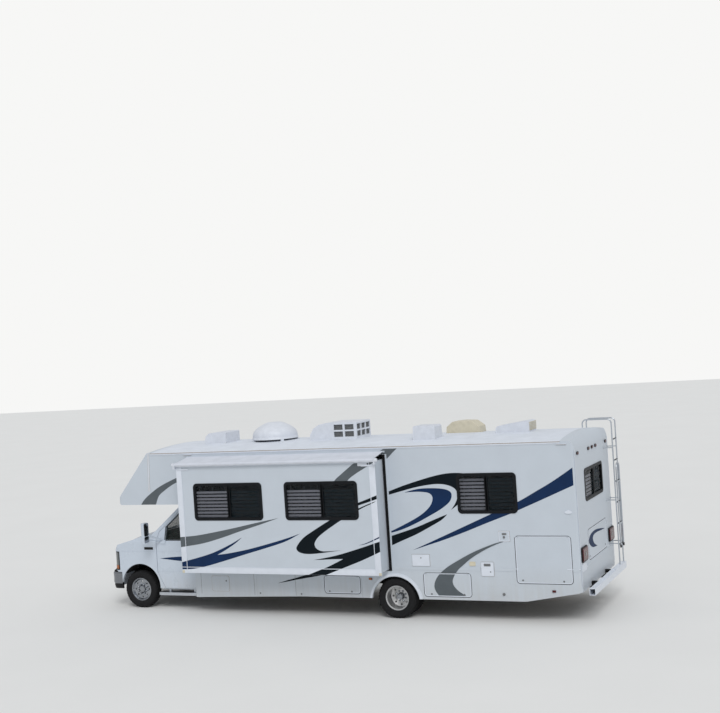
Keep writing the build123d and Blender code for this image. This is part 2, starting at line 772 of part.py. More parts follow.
with BuildPart() as cab_body:
    add(cab_shell.part)
    across = (-CAB_HALF - 10, CAB_HALF + 10)
    block((CAB_NOSE - 10, BUMPER_END), across, (CAB_BOTTOM - 10, FENDER_BOTTOM), Mode.SUBTRACT)
    for side in (LEFT, RIGHT):
        skin = sides(side, CAB_HALF - CAB_SKIN - 10, CAB_HALF + 10)
        with Locations((ARCH_CENTRE[0], (skin[0] + skin[1]) / 2, ARCH_CENTRE[1])):
            Cylinder(ARCH_RADIUS, skin[1] - skin[0], rotation=(90, 0, 0), mode=Mode.SUBTRACT)
        arch_x = (ARCH_CENTRE[0] - ARCH_RADIUS, ARCH_CENTRE[0] + ARCH_RADIUS)
        block(arch_x, skin, (CAB_BOTTOM - 60, ARCH_CENTRE[1]), Mode.SUBTRACT)
        add(door_prism(DOOR_OUTLINE, 0, side), mode=Mode.SUBTRACT)
    block((CAB_NOSE - 40, HOOD_REAR), (-HOOD_HALF, HOOD_HALF), (HOOD_LIP, 1600), Mode.SUBTRACT)
    nose_x = (CAB_NOSE - 10, CAB_NOSE + 110)
    block(nose_x, (-GRILLE_HALF, GRILLE_HALF), GRILLE_Z, Mode.SUBTRACT)
    for side in (LEFT, RIGHT):
        lamp_y = sides(side, LAMP_INNER, CAB_HALF + 10)
        block((CAB_NOSE - 10, LAMP_REAR), lamp_y, LAMP_Z, Mode.SUBTRACT)
    add(windshield_prism(0), mode=Mode.SUBTRACT)
    inside = CAB_HALF - CAB_SKIN - GAP
    floor_z = (CAB_FLOOR - CAB_FLOOR_SKIN, CAB_FLOOR)
    block((FIREWALL_X, CAB_REAR), (-inside, inside), floor_z)
    wide = inside + GAP + 4
    block((FIREWALL_X, FIREWALL_X + 30), (-wide, wide), (CAB_FLOOR - CAB_FLOOR_SKIN, COWL[1] - CAB_SKIN - 8))
    for side in (LEFT, RIGHT):
        liner = sides(side, WHEELHOUSE_INNER, inside + GAP + 4)
        with Locations((WHEELHOUSE_CENTRE[0], (liner[0] + liner[1]) / 2, WHEELHOUSE_CENTRE[1])):
            Cylinder(WHEELHOUSE_RADIUS + 10, liner[1] - liner[0], rotation=(90, 0, 0))
        block((620, CAB_REAR), sides(side, inside - 80, inside), (CAB_BOTTOM + 60, floor_z[0] + 5))
        pillar_x = (DOOR_OUTLINE[-2][0] + GAP, CAB_REAR)
        block(pillar_x, sides(side, inside - 10, inside + GAP + 4), (CAB_BOTTOM + 60, CAB_FLOOR))
        for x in (540, 1300):
            mount_y = sides(side, RAIL_Y - 30, RAIL_Y + 30)
            block((x - 30, x + 30), mount_y, (RAIL_TOP, floor_z[0] + 5))
    for side in (LEFT, RIGHT):
        liner = sides(side, WHEELHOUSE_INNER - 20, inside + GAP + 4)
        with Locations((WHEELHOUSE_CENTRE[0], (liner[0] + liner[1]) / 2, WHEELHOUSE_CENTRE[1])):
            Cylinder(WHEELHOUSE_RADIUS, liner[1] - liner[0], rotation=(90, 0, 0), mode=Mode.SUBTRACT)
        below = sides(side, WHEELHOUSE_INNER - 30, inside + GAP + 4)
        block((-560, 560), below, (-100, WHEELHOUSE_CENTRE[1]), Mode.SUBTRACT)
        bumper_end = sides(side, inside, CAB_HALF)
        bumper_z = (BUMPER_BOTTOM - 100, FENDER_BOTTOM)
        block((CAB_NOSE, BUMPER_END + 5), bumper_end, bumper_z, Mode.SUBTRACT)
    for side in (LEFT, RIGHT):
        pin_at = (DOOR_AXIS_X, side * (CAB_HALF - HINGE_INSET))
        for z in DOOR_PINS:
            rod((*pin_at, z[0]), (*pin_at, z[1]), HINGE_PIN)
        pin_y = sides(side, HOOD_HALF - GAP - PIN_REACH, HOOD_HALF + 10)
        rod((HOOD_AXIS[0], pin_y[0], HOOD_AXIS[1]), (HOOD_AXIS[0], pin_y[1], HOOD_AXIS[1]), HINGE_PIN)
finish(cab_body, "cab_body")

# Hood, grille, headlamps, front bumper

with BuildPart() as hood:
    hood_y = (-HOOD_HALF + GAP, HOOD_HALF - GAP)
    add(shell_piece(0, HOOD_SKIN, (CAB_NOSE, HOOD_REAR - GAP), hood_y, (HOOD_LIP + GAP, 1600)))
    for side in (LEFT, RIGHT):
        bore_y = sides(side, HOOD_HALF - GAP - PIN_REACH - 3, HOOD_HALF)
        start = (HOOD_AXIS[0], bore_y[0], HOOD_AXIS[1])
        end = (HOOD_AXIS[0], bore_y[1], HOOD_AXIS[1])
        rod(start, end, HINGE_PIN + RUNNING_FIT, Mode.SUBTRACT)
finish(hood, "hood")

with BuildPart() as grille:
    grille_y = (-GRILLE_HALF + SEAT_FIT, GRILLE_HALF - SEAT_FIT)
    grille_z = (GRILLE_Z[0] + SEAT_FIT, GRILLE_Z[1] - SEAT_FIT)
    add(shell_piece(3, 38, (CAB_NOSE - 10, CAB_NOSE + 110), grille_y, grille_z))
    slot = (grille_z[1] - grille_z[0] - 30) / 6
    for n in range(6):
        low = grille_z[0] + 30 + n * slot
        block((CAB_NOSE - 10, CAB_NOSE + 20 + 6 * n), (-300, 300), (low, low + slot - 30), Mode.SUBTRACT)
finish(grille, "grille")

with BuildPart() as headlamps:
    for side in (LEFT, RIGHT):
        lamp_y = sides(side, LAMP_INNER + SEAT_FIT, CAB_HALF)
        lamp_z = (LAMP_Z[0] + SEAT_FIT, LAMP_Z[1] - SEAT_FIT)
        add(shell_piece(2, 45, (CAB_NOSE, LAMP_REAR - SEAT_FIT), lamp_y, lamp_z))
finish(headlamps, "headlamps")

with BuildPart() as front_bumper:
    length = 2 * (BUMPER_END - BUMPER_NOSE)
    for z, inset, wall in (
        ((BUMPER_BOTTOM, BUMPER_TOP), 0, BUMPER_SKIN),
        ((BUMPER_BOTTOM - 100, BUMPER_BOTTOM), 14, BUMPER_SKIN - 14),
    ):
        with BuildSketch(Plane.XY.offset(z[0])):
            with Locations((BUMPER_END, 0)):
                width = 2 * CAB_HALF
                RectangleRounded(length - 2 * inset, width - 2 * inset, 190 - inset)
                deep = inset + wall
                RectangleRounded(length - 2 * deep, width - 2 * deep, 190 - deep, mode=Mode.SUBTRACT)
        extrude(amount=z[1] - z[0])
    behind = (BUMPER_END, BUMPER_END + length)
    block(behind, across, (BUMPER_BOTTOM - 110, BUMPER_TOP + 10), Mode.SUBTRACT)
finish(front_bumper, "front_bumper")

# Cab doors with their glass and mirrors

with BuildPart() as right_door:
    add(cab_shell.part)
    add(door_prism(DOOR_OUTLINE, GAP, RIGHT), mode=Mode.INTERSECT)
    add(door_prism(DOOR_BACK, 0, RIGHT), mode=Mode.SUBTRACT)
    add(door_prism(DOOR_WINDOW, 0, RIGHT), mode=Mode.SUBTRACT)
    edge = (DOOR_AXIS_X - HINGE_INSET - 5, DOOR_AXIS_X)
    corner = (CAB_HALF - HINGE_INSET, CAB_HALF + 5)
    with BuildPart(mode=Mode.PRIVATE) as hinge_edge:
        block(edge, corner, (CAB_BOTTOM, CAB_BELT + 60))
        with Locations((DOOR_AXIS_X, CAB_HALF - HINGE_INSET, (CAB_BOTTOM + CAB_BELT + 60) / 2)):
            Cylinder(HINGE_INSET, CAB_BELT + 60 - CAB_BOTTOM, mode=Mode.SUBTRACT)
    add(hinge_edge.part, mode=Mode.SUBTRACT)
    relief = (edge[0], DOOR_AXIS_X + HINGE_RELIEF)
    relief_y = (corner[0] - HINGE_RELIEF, corner[1])
    block(relief, relief_y, (CAB_BOTTOM, DOOR_OUTLINE[0][1] - HINGE_INSET), Mode.SUBTRACT)
    block(relief, relief_y, (CAB_BELT + GAP, CAB_BELT + 60), Mode.SUBTRACT)
    for z in DOOR_PINS:
        low = (DOOR_AXIS_X, CAB_HALF - HINGE_INSET, z[0] - 3)
        high = (DOOR_AXIS_X, CAB_HALF - HINGE_INSET, z[1] + 3)
        rod(low, high, HINGE_PIN + RUNNING_FIT, Mode.SUBTRACT)
with BuildPart() as right_glass:
    add(cab_form(20))
    add(cab_form(20 + GLASS), mode=Mode.SUBTRACT)
    add(door_prism(DOOR_WINDOW, SEAT_FIT, RIGHT), mode=Mode.INTERSECT)
with BuildPart() as right_mirror:
    with BuildSketch(Plane.XY.offset(MIRROR_Z[0])):
        with Locations(((MIRROR_X[0] + MIRROR_X[1]) / 2, (MIRROR_Y[0] + MIRROR_Y[1]) / 2)):
            RectangleRounded(MIRROR_X[1] - MIRROR_X[0], MIRROR_Y[1] - MIRROR_Y[0], MIRROR_CORNER)
    extrude(amount=MIRROR_Z[1] - MIRROR_Z[0])
    arm_y = (CAB_HALF - 32, MIRROR_Y[0] + 35)
    for base, tip in (((560, 1300), (425, 1400)), ((620, 1325), (425, 1480))):
        rod((base[0], arm_y[0], base[1]), (tip[0], arm_y[1], tip[1]), 13)
    add(cab_form(0), mode=Mode.SUBTRACT)
for side, name in ((LEFT, "left"), (RIGHT, "right")):
    for one, label in ((right_door, "cab_door"), (right_glass, "door_glass"), (right_mirror, "mirror")):
        with BuildPart() as handed:
            add(one.part if side > 0 else mirror(one.part, about=Plane.XZ))
        finish(handed, f"{name}_{label}")

# Dashboard, steering wheel, seats

column = Vector(cos(radians(COLUMN_ANGLE)), 0, sin(radians(COLUMN_ANGLE)))
wheel_at = Vector(*STEERING_WHEEL)
with BuildPart() as dashboard:
    dash_half = CAB_HALF - CAB_SKIN - 47
    block((FIREWALL_X + 30, 620), (-dash_half, dash_half), (1000, 1320))
    rod(wheel_at - column * 240, wheel_at - column * 150, 20 + RUNNING_FIT, Mode.SUBTRACT)
finish(dashboard, "dashboard")

with BuildPart() as steering_wheel:
    with Locations(Plane(origin=wheel_at, z_dir=column)):
        Torus(190, 15)
        Cylinder(50, 40)
        Box(372, 36, 16)
    rod(wheel_at - column * 235, wheel_at, 20)
finish(steering_wheel, "steering_wheel")

with BuildPart() as cab_seats:
    for side in (LEFT, RIGHT):
        seat_y = sides(side, 190, 700)
        block((760, 1240), seat_y, (CAB_FLOOR, 900))
        with BuildSketch(side_view(seat_y[1])):
            with BuildLine():
                Polyline(*SEAT_SIDE, close=True)
            make_face()
        extrude(amount=seat_y[1] - seat_y[0])
finish(cab_seats, "cab_seats")

# Running boards and the entry step

with BuildPart() as steps:
    for side in (LEFT, RIGHT):
        board = (CAB_HALF + BOARD_OVERHANG - BOARD_WIDTH, CAB_HALF + BOARD_OVERHANG)
        block((459, 1290), sides(side, *board), (270, 325))
        for x in (640, 1200):
            block((x - 20, x + 20), sides(side, board[0], board[0] + 50), (325, CAB_BOTTOM + 60))
    block(STEP_X, (1180, 1420), STEP_Z)
    for x in (STEP_X[0] + STEP_WALL, STEP_X[1] - STEP_WALL):
        step_arm = (x - STEP_WALL, x + STEP_WALL)
        block(step_arm, (1150, 1180), (STEP_Z[0], ENTRY_Z[0] - STEP_WALL))
        block(step_arm, (1150, 1190), STEP_Z)
finish(steps, "steps")

# House floor with the slide's runners and the entry step well

left_bays = [bay for bay in BAYS if bay[1] == LEFT]
rear_bay = left_bays[-1]
with BuildPart() as house_floor:
    floor_front = CAB_REAR + RETURN_WALL
    floor_y = (-INNER_HALF, INNER_HALF)
    block((floor_front, WALL_REAR), floor_y, (FLOOR_BOTTOM, FLOOR_TOP))
    block((CAB_REAR, floor_front), (-800, 800), (CAB_FLOOR - CAB_FLOOR_SKIN, FLOOR_TOP))
    bay_x = (rear_bay[2] - 5 - BOX_WALL, rear_bay[3] + 5 + BOX_WALL)
    bay_y = (-INNER_HALF - 10, -INNER_HALF + BOX_DEPTH - 90)
    block(bay_x, bay_y, (FLOOR_BOTTOM, FLOOR_TOP), Mode.SUBTRACT)
    for name, side, x0, x1, z0, z1 in BAYS:
        if FLOOR_BOTTOM < z1 < FLOOR_TOP:
            notch_y = sides(side, INNER_HALF - 8, INNER_HALF + 10)
            block((x0 - 10, x1 + 10), notch_y, (FLOOR_BOTTOM, FLOOR_TOP), Mode.SUBTRACT)
    well_y = (STEP_WELL_Y, INNER_HALF)
    well_z = (ENTRY_Z[0] - STEP_WALL, FLOOR_BOTTOM)
    block(STEP_WELL_X, well_y, well_z)
    well_x = (STEP_WELL_X[0] + STEP_WALL, STEP_WELL_X[1] - STEP_WALL)
    well_open = (STEP_WELL_Y + STEP_WALL, INNER_HALF + 5)
    block(well_x, well_open, (ENTRY_Z[0], FLOOR_TOP), Mode.SUBTRACT)
    block(ENTRY_X, (INNER_HALF - SWING_ROOM, INNER_HALF + 5), (ENTRY_Z[0], FLOOR_TOP), Mode.SUBTRACT)
    for x in (2000, 3450, 4900):
        runner_z = (FLOOR_TOP, SLIDE_Z[0] - RUNNING_FIT)
        block((x - 30, x + 30), (-INNER_HALF, -300), runner_z)
finish(house_floor, "house_floor")

# Storage boxes behind the compartment doors and the rear hatch

with BuildPart() as storage_boxes:
    for name, side, x0, x1, z0, z1 in BAYS:
        depth = BOX_DEPTH - 90 if z1 > FLOOR_TOP else BOX_DEPTH
        top = z1 + 5 if z1 > FLOOR_TOP else min(z1 + 5, FLOOR_BOTTOM - BOX_WALL)
        hollow_z = (z0 - 5, top)
        near, far = INNER_HALF - depth, INNER_HALF
        full_z = (hollow_z[0] - BOX_WALL, hollow_z[1] + BOX_WALL)
        block((x0 - 5 - BOX_WALL, x1 + 5 + BOX_WALL), sides(side, near, far), full_z)
        hollow_y = sides(side, near + BOX_WALL, far + 5)
        block((x0 - 5, x1 + 5), hollow_y, hollow_z, Mode.SUBTRACT)
    hatch_x = (8350, HOUSE_REAR - CAP_SKIN)
    low_y, high_y = HATCH_Y[0] - 5, HATCH_Y[1] + 5
    low_z, high_z = HATCH_Z[0] - 5, HATCH_Z[1] + 5
    full_y = (low_y - BOX_WALL, high_y + BOX_WALL)
    block(hatch_x, full_y, (low_z - BOX_WALL, high_z + BOX_WALL))
    inner_x = (hatch_x[0] + BOX_WALL, hatch_x[1] + 5)
    block(inner_x, (low_y, high_y), (low_z, high_z), Mode.SUBTRACT)
    block((8400, 8440), (-600, 600), (FLOOR_TOP, low_z - BOX_WALL))
finish(storage_boxes, "storage_boxes")

# House walls


def bay_pins(name, side, x0, x1, z0, z1, radius, reach, mode):
    """The two hinge pins of a compartment door, or what lies around them."""
    y = side * HOUSE_HALF
    z = z1 - GAP - HINGE_INSET
    rod((x0 + reach[0], y, z), (x0 + reach[1], y, z), radius, mode)
    rod((x1 - reach[1], y, z), (x1 - reach[0], y, z), radius, mode)


def house_wall(side, windows):
    """One wall with its windows, compartment openings and rear arch."""
    outer = side_view(side * HOUSE_HALF)
    with BuildPart() as wall:
        with BuildSketch(outer):
            wall_outline()
            with Locations((WHEELBASE, REAR_ARCH_Z)):
                Circle(REAR_ARCH_RADIUS, mode=Mode.SUBTRACT)
            for name, bay_side, x0, x1, z0, z1 in BAYS:
                if bay_side == side:
                    with Locations(((x0 + x1) / 2, (z0 + z1) / 2)):
                        RectangleRounded(x1 - x0, z1 - z0, BAY_CORNER, mode=Mode.SUBTRACT)
        extrude(amount=side * WALL)
        for x0, x1, z0, z1, bar in windows:
            window_hole(outer, (x0, x1), (z0, z1), WALL + 10)
        with BuildSketch(outer):
            with Locations((WHEELBASE, REAR_ARCH_Z)):
                Circle(REAR_ARCH_RADIUS + 52)
                Circle(REAR_ARCH_RADIUS, mode=Mode.SUBTRACT)
            with Locations((WHEELBASE, SKIRT - 400)):
                Rectangle(1400, 800, mode=Mode.SUBTRACT)
        extrude(amount=-side * 12)
        with BuildSketch(rear_view(CAB_REAR)):
            with Locations((side * (800 + HOUSE_HALF) / 2, (SKIRT_FRONT + OVERCAB_BOTTOM) / 2)):
                Rectangle(HOUSE_HALF - 800, OVERCAB_BOTTOM - SKIRT_FRONT)
            cab_hole()
        extrude(amount=RETURN_WALL)
        for bay in BAYS:
            if bay[1] == side:
                bay_pins(*bay, HINGE_PIN, (5, 60), Mode.ADD)
    return wall.part


with BuildPart() as left_wall:
    add(house_wall(LEFT, LEFT_WINDOWS))
    opening_x = (SLIDE_X[0] - SLIDE_GAP, SLIDE_X[1] + SLIDE_GAP)
    opening_z = (SLIDE_OPENING_BOTTOM, SLIDE_OPENING_TOP)
    block(opening_x, (-HOUSE_HALF - 20, -INNER_HALF + 5), opening_z, Mode.SUBTRACT)
    opening_x = (opening_x[0] + 6, opening_x[1])
    trim_y = (-HOUSE_HALF - TRIM_PROUD, -HOUSE_HALF)
    trim_top = SLIDE_OPENING_TOP + TRIM_HEIGHT
    block((opening_x[1], opening_x[1] + SLIDE_TRIM), trim_y, (opening_z[0], trim_top))
    block((CAB_REAR, opening_x[1]), trim_y, (opening_z[1], trim_top))
    for x0, x1, z0, z1, proud, corner in PLATES:
        with BuildSketch(side_view(-HOUSE_HALF)):
            with Locations(((x0 + x1) / 2, (z0 + z1) / 2)):
                RectangleRounded(x1 - x0, z1 - z0, corner)
        extrude(amount=proud)
    for x0, x1 in LEFT_MOULDINGS:
        block((x0, x1), (-HOUSE_HALF - MOULDING_PROUD, -HOUSE_HALF), MOULDING_Z)
    for x in SKIRT_SEAMS:
        seam_y = (-HOUSE_HALF - 1, -HOUSE_HALF + 3)
        block((x - 3, x + 3), seam_y, (SKIRT_FRONT - 10, SLIDE_OPENING_BOTTOM - 20), Mode.SUBTRACT)
    rail_x = (SLIDE_X[0] - 70, SLIDE_X[1] + 60)
    block(rail_x, (-HOUSE_HALF - 15, -HOUSE_HALF), RAIL_HEIGHT)
finish(left_wall, "left_wall")

with BuildPart() as right_wall:
    add(house_wall(RIGHT, RIGHT_WINDOWS))
    block(ENTRY_X, (INNER_HALF - 5, HOUSE_HALF + 5), ENTRY_Z, Mode.SUBTRACT)
    for x in ((CAB_REAR + 20, ENTRY_X[0] - 30), (ENTRY_X[1] + 30, 7400)):
        block(x, (HOUSE_HALF, HOUSE_HALF + MOULDING_PROUD), MOULDING_Z)
    entry_pin = (ENTRY_X[0] + GAP + HINGE_INSET, HOUSE_HALF - HINGE_INSET)
    for z in ((ENTRY_Z[0] - 5, ENTRY_Z[0] + 25), (ENTRY_Z[1] - 25, ENTRY_Z[1] + 5)):
        rod((*entry_pin, z[0]), (*entry_pin, z[1]), HINGE_PIN)
finish(right_wall, "right_wall")

# Roof, rear cap, front cap over the cab


def hatch_pins(radius, reach, mode):
    """The two hinge pins of the rear hatch, or what lies around them."""
    z = HATCH_Z[1] - GAP - HINGE_INSET
    for y in ((HATCH_Y[0] + reach[0], HATCH_Y[0] + reach[1]), (HATCH_Y[1] - reach[1], HATCH_Y[1] - reach[0])):
        rod((HOUSE_REAR, y[0], z), (HOUSE_REAR, y[1], z), radius, mode)


with BuildPart() as roof:
    with BuildSketch(rear_view(ROOF_FRONT)):
        crown_section(HOUSE_HALF, WALL_TOP)
    extrude(amount=ROOF_REAR - ROOF_FRONT)
finish(roof, "roof")

with BuildPart() as rear_wall:
    with BuildSketch(rear_view(ROOF_REAR)):
        crown_section(HOUSE_HALF, REAR_BOTTOM)
    extrude(amount=HOUSE_REAR - ROOF_REAR)
    with BuildSketch(side_view(0)):
        with BuildLine():
            crest = (HOUSE_REAR - 190, ROOF_TOP + 20)
            bend = (HOUSE_REAR, ROOF_TOP - 240)
            foot = REAR_BOTTOM - 30
            Polyline(crest, (ROOF_REAR, crest[1]), (ROOF_REAR, foot), (HOUSE_REAR, foot), bend)
            ThreePointArc(bend, (HOUSE_REAR - 65, ROOF_TOP - 75), crest)
        make_face()
    extrude(amount=HOUSE_HALF + 20, both=True, mode=Mode.INTERSECT)
    with BuildSketch(Plane.XY.offset(foot)):
        with Locations((HOUSE_REAR - 500, 0)):
            Rectangle(1000, 2 * HOUSE_HALF)
        chamfer(vertices(), CAP_CORNER)
    extrude(amount=ROOF_TOP, mode=Mode.INTERSECT)
    inner_y = (-HOUSE_HALF + CAP_SKIN, HOUSE_HALF - CAP_SKIN)
    inner_x = (ROOF_REAR - 10, HOUSE_REAR - CAP_SKIN)
    with BuildSketch(side_view(0)):
        with BuildLine():
            crest = (HOUSE_REAR - 230, ROOF_TOP - 160)
            bend = (inner_x[1], ROOF_TOP - 280)
            Polyline(crest, (inner_x[0], crest[1]), (inner_x[0], foot), (inner_x[1], foot), bend)
            ThreePointArc(bend, (HOUSE_REAR - 100, ROOF_TOP - 200), crest)
        make_face()
    extrude(amount=inner_y[1], both=True, mode=Mode.SUBTRACT)
    for side in (LEFT, RIGHT):
        with BuildSketch(side_view(side * (HOUSE_HALF + 10))):
            wall_outline()
        extrude(amount=side * (WALL + 10), mode=Mode.SUBTRACT)
    window_hole(rear_view(HOUSE_REAR), REAR_WINDOW_Y, REAR_WINDOW_Z, CAP_SKIN + 10)
    with BuildSketch(rear_view(HOUSE_REAR - CAP_SKIN - 10)):
        with Locations(((HATCH_Y[0] + HATCH_Y[1]) / 2, (HATCH_Z[0] + HATCH_Z[1]) / 2)):
            RectangleRounded(HATCH_Y[1] - HATCH_Y[0], HATCH_Z[1] - HATCH_Z[0], BAY_CORNER)
    extrude(amount=CAP_SKIN + 20, mode=Mode.SUBTRACT)
    hatch_pins(HINGE_PIN, (5, 60), Mode.ADD)
    block((HOUSE_REAR, HOUSE_REAR + MOULDING_PROUD), (-810, HATCH_Y[0] - 20), (885, 930))
    block((HOUSE_REAR, HOUSE_REAR + MOULDING_PROUD), (HATCH_Y[0] - 20, 1195), (885, 930))
finish(rear_wall, "rear_wall")

with BuildPart() as cab_over:
    with BuildSketch(side_view(0)):
        with BuildLine():
            Polyline(*OVERCAB_SIDE)
            tip = (OVERCAB_NOSE, OVERCAB_BOTTOM + NOSE_ROUND)
            ThreePointArc((CHIN_X, OVERCAB_BOTTOM), (OVERCAB_NOSE + 26, OVERCAB_BOTTOM + 26), tip)
            ThreePointArc(tip, (OVERCAB_NOSE + 9, OVERCAB_BOTTOM + 131), BROW)
        make_face()
    extrude(amount=HOUSE_HALF + 20, both=True)
    with BuildSketch(rear_view(OVERCAB_NOSE - 20)):
        crown_section(HOUSE_HALF, OVERCAB_BOTTOM - 50)
    extrude(amount=ROOF_FRONT - OVERCAB_NOSE + 40, mode=Mode.INTERSECT)
    with BuildSketch(Plane.XY.offset(OVERCAB_BOTTOM - 50)):
        with Locations((OVERCAB_NOSE + NOSE_FLAT + 1000, 0)):
            RectangleRounded(2000, 2 * HOUSE_HALF, NOSE_CORNER)
    extrude(amount=1300, mode=Mode.INTERSECT)
    with BuildPart(mode=Mode.PRIVATE) as bunk:
        with BuildSketch(side_view(0)):
            low = OVERCAB_BOTTOM + OVERCAB_SKIN
            slope_end = BROW[0] + SLOPE * (WALL_TOP - BROW[1]) + 41
            Polygon(
                (CHIN_X + 12, low), (CHIN_X - 32, low + 20), (OVERCAB_NOSE + OVERCAB_SKIN, low + 60),
                (BROW[0] + 41, BROW[1]), (slope_end, WALL_TOP),
                (ROOF_FRONT + 80, WALL_TOP), (ROOF_FRONT + 80, low), align=None,
            )
        extrude(amount=HOUSE_HALF - OVERCAB_SKIN, both=True)
        with BuildSketch(Plane.XY.offset(OVERCAB_BOTTOM)):
            with Locations((OVERCAB_NOSE + 2 * NOSE_FLAT + 1000, 0)):
                inner = 2 * HOUSE_HALF - 2 * OVERCAB_SKIN
                RectangleRounded(2000 - 2 * OVERCAB_SKIN, inner, NOSE_CORNER - OVERCAB_SKIN)
        extrude(amount=1300, mode=Mode.INTERSECT)
    add(bunk.part, mode=Mode.SUBTRACT)
    bunk_z = (OVERCAB_BOTTOM, low)
    block((WALL_FRONT, CAB_REAR + RETURN_WALL), (-INNER_HALF, INNER_HALF), bunk_z)
finish(cab_over, "cab_over")

# Window frames and glass of the fixed walls; the windshield

left_face = side_view(-HOUSE_HALF)
right_face = side_view(HOUSE_HALF)
rear_face = rear_view(HOUSE_REAR)
with BuildPart() as window_frames:
    for x0, x1, z0, z1, bar in LEFT_WINDOWS:
        window_frame(left_face, 1, (x0, x1), (z0, z1), bar, WALL)
    for x0, x1, z0, z1, bar in RIGHT_WINDOWS:
        window_frame(right_face, -1, (x0, x1), (z0, z1), bar, WALL)
    window_frame(rear_face, 1, REAR_WINDOW_Y, REAR_WINDOW_Z, 0, CAP_SKIN)
finish(window_frames, "window_frames")

with BuildPart() as glass:
    for x0, x1, z0, z1, bar in LEFT_WINDOWS:
        window_pane(left_face, 1, (x0, x1), (z0, z1))
    for x0, x1, z0, z1, bar in RIGHT_WINDOWS:
        window_pane(right_face, -1, (x0, x1), (z0, z1))
    window_pane(rear_face, 1, REAR_WINDOW_Y, REAR_WINDOW_Z)
    with BuildPart(mode=Mode.PRIVATE) as windshield:
        add(cab_form(15))
        add(cab_form(15 + GLASS), mode=Mode.SUBTRACT)
        add(windshield_prism(SEAT_FIT), mode=Mode.INTERSECT)
    add(windshield.part)
finish(glass, "glass")

# Slide-out room

with BuildPart() as slide_room:
    slide_y = (SLIDE_FACE, SLIDE_FACE + SLIDE_DEPTH)
    block(SLIDE_X, slide_y, SLIDE_Z)
    block(
        (SLIDE_X[0] + SLIDE_WALL, SLIDE_X[1] - SLIDE_WALL),
        (slide_y[0] + SLIDE_WALL, slide_y[1] + 5),
        (SLIDE_Z[0] + SLIDE_WALL, SLIDE_Z[1] - SLIDE_WALL),
        Mode.SUBTRACT,
    )
    flange_x = (SLIDE_X[0] - SLIDE_FLANGE, SLIDE_X[1] + SLIDE_FLANGE)
    flange_z = (SLIDE_Z[0] - SLIDE_FLANGE, SLIDE_Z[1] + SLIDE_FLANGE)
    block(flange_x, (SLIDE_FACE, SLIDE_FACE + 20), flange_z)
    for x0, x1, z0, z1, bar in SLIDE_WINDOWS:
        window_hole(side_view(SLIDE_FACE), (x0, x1), (z0, z1), SLIDE_WALL + 10)
finish(slide_room, "slide_room")

slide_face = side_view(SLIDE_FACE)
with BuildPart() as slide_frames:
    for x0, x1, z0, z1, bar in SLIDE_WINDOWS:
        window_frame(slide_face, 1, (x0, x1), (z0, z1), bar, SLIDE_WALL)
finish(slide_frames, "slide_frames")

with BuildPart() as slide_glass:
    for x0, x1, z0, z1, bar in SLIDE_WINDOWS:
        window_pane(slide_face, 1, (x0, x1), (z0, z1))
finish(slide_glass, "slide_glass")

with BuildPart() as topper_roller:
    roller_x = (SLIDE_X[0] - ROLLER_OVERHANG, SLIDE_X[1] + ROLLER_OVERHANG)
    rod((roller_x[0], ROLLER_Y, ROLLER_Z), (roller_x[1], ROLLER_Y, ROLLER_Z), ROLLER_RADIUS)
    for x in ((flange_x[0] - 24, flange_x[0]), (flange_x[1], flange_x[1] + 24)):
        block(x, (ROLLER_Y - 38, SLIDE_FACE + 20), (ROLLER_Z - 70, ROLLER_Z + 38))
finish(topper_roller, "topper_roller")

with BuildPart() as topper_fabric:
    with BuildSketch(rear_view(SLIDE_X[0] - 30)):
        with BuildLine():
            Polyline(
                (-HOUSE_HALF - 15, RAIL_HEIGHT[0] + 18),
                (ROLLER_Y, ROLLER_Z + ROLLER_RADIUS + 3.5),
                (ROLLER_Y, ROLLER_Z + ROLLER_RADIUS + 0.5),
                (-HOUSE_HALF - 15, RAIL_HEIGHT[0] + 15),
                close=True,
            )
        make_face()
    extrude(amount=SLIDE_X[1] - SLIDE_X[0] + 60)
finish(topper_fabric, "topper_fabric")

# Compartment doors, rear hatch, entry door

for bay in BAYS:
    name, side, x0, x1, z0, z1 = bay
    with BuildPart() as bay_door:
        with BuildSketch(side_view(side * HOUSE_HALF)):
            with Locations(((x0 + x1) / 2, (z0 + z1) / 2)):
                RectangleRounded(x1 - x0 - 2 * GAP, z1 - z0 - 2 * GAP, BAY_CORNER - GAP)
        extrude(amount=side * WALL)
        bay_pins(*bay, HINGE_BARREL, (42, 70), Mode.ADD)
        bay_pins(*bay, HINGE_PIN + RUNNING_FIT, (5, 63), Mode.SUBTRACT)
    finish(bay_door, name)

with BuildPart() as rear_hatch:
    with BuildSketch(rear_view(HOUSE_REAR - CAP_SKIN)):
        with Locations(((HATCH_Y[0] + HATCH_Y[1]) / 2, (HATCH_Z[0] + HATCH_Z[1]) / 2)):
            width = HATCH_Y[1] - HATCH_Y[0] - 2 * GAP
            height = HATCH_Z[1] - HATCH_Z[0] - 2 * GAP
            RectangleRounded(width, height, BAY_CORNER - GAP)
    extrude(amount=CAP_SKIN)
    hatch_pins(HINGE_BARREL, (42, 70), Mode.ADD)
    hatch_pins(HINGE_PIN + RUNNING_FIT, (5, 63), Mode.SUBTRACT)
finish(rear_hatch, "rear_hatch")

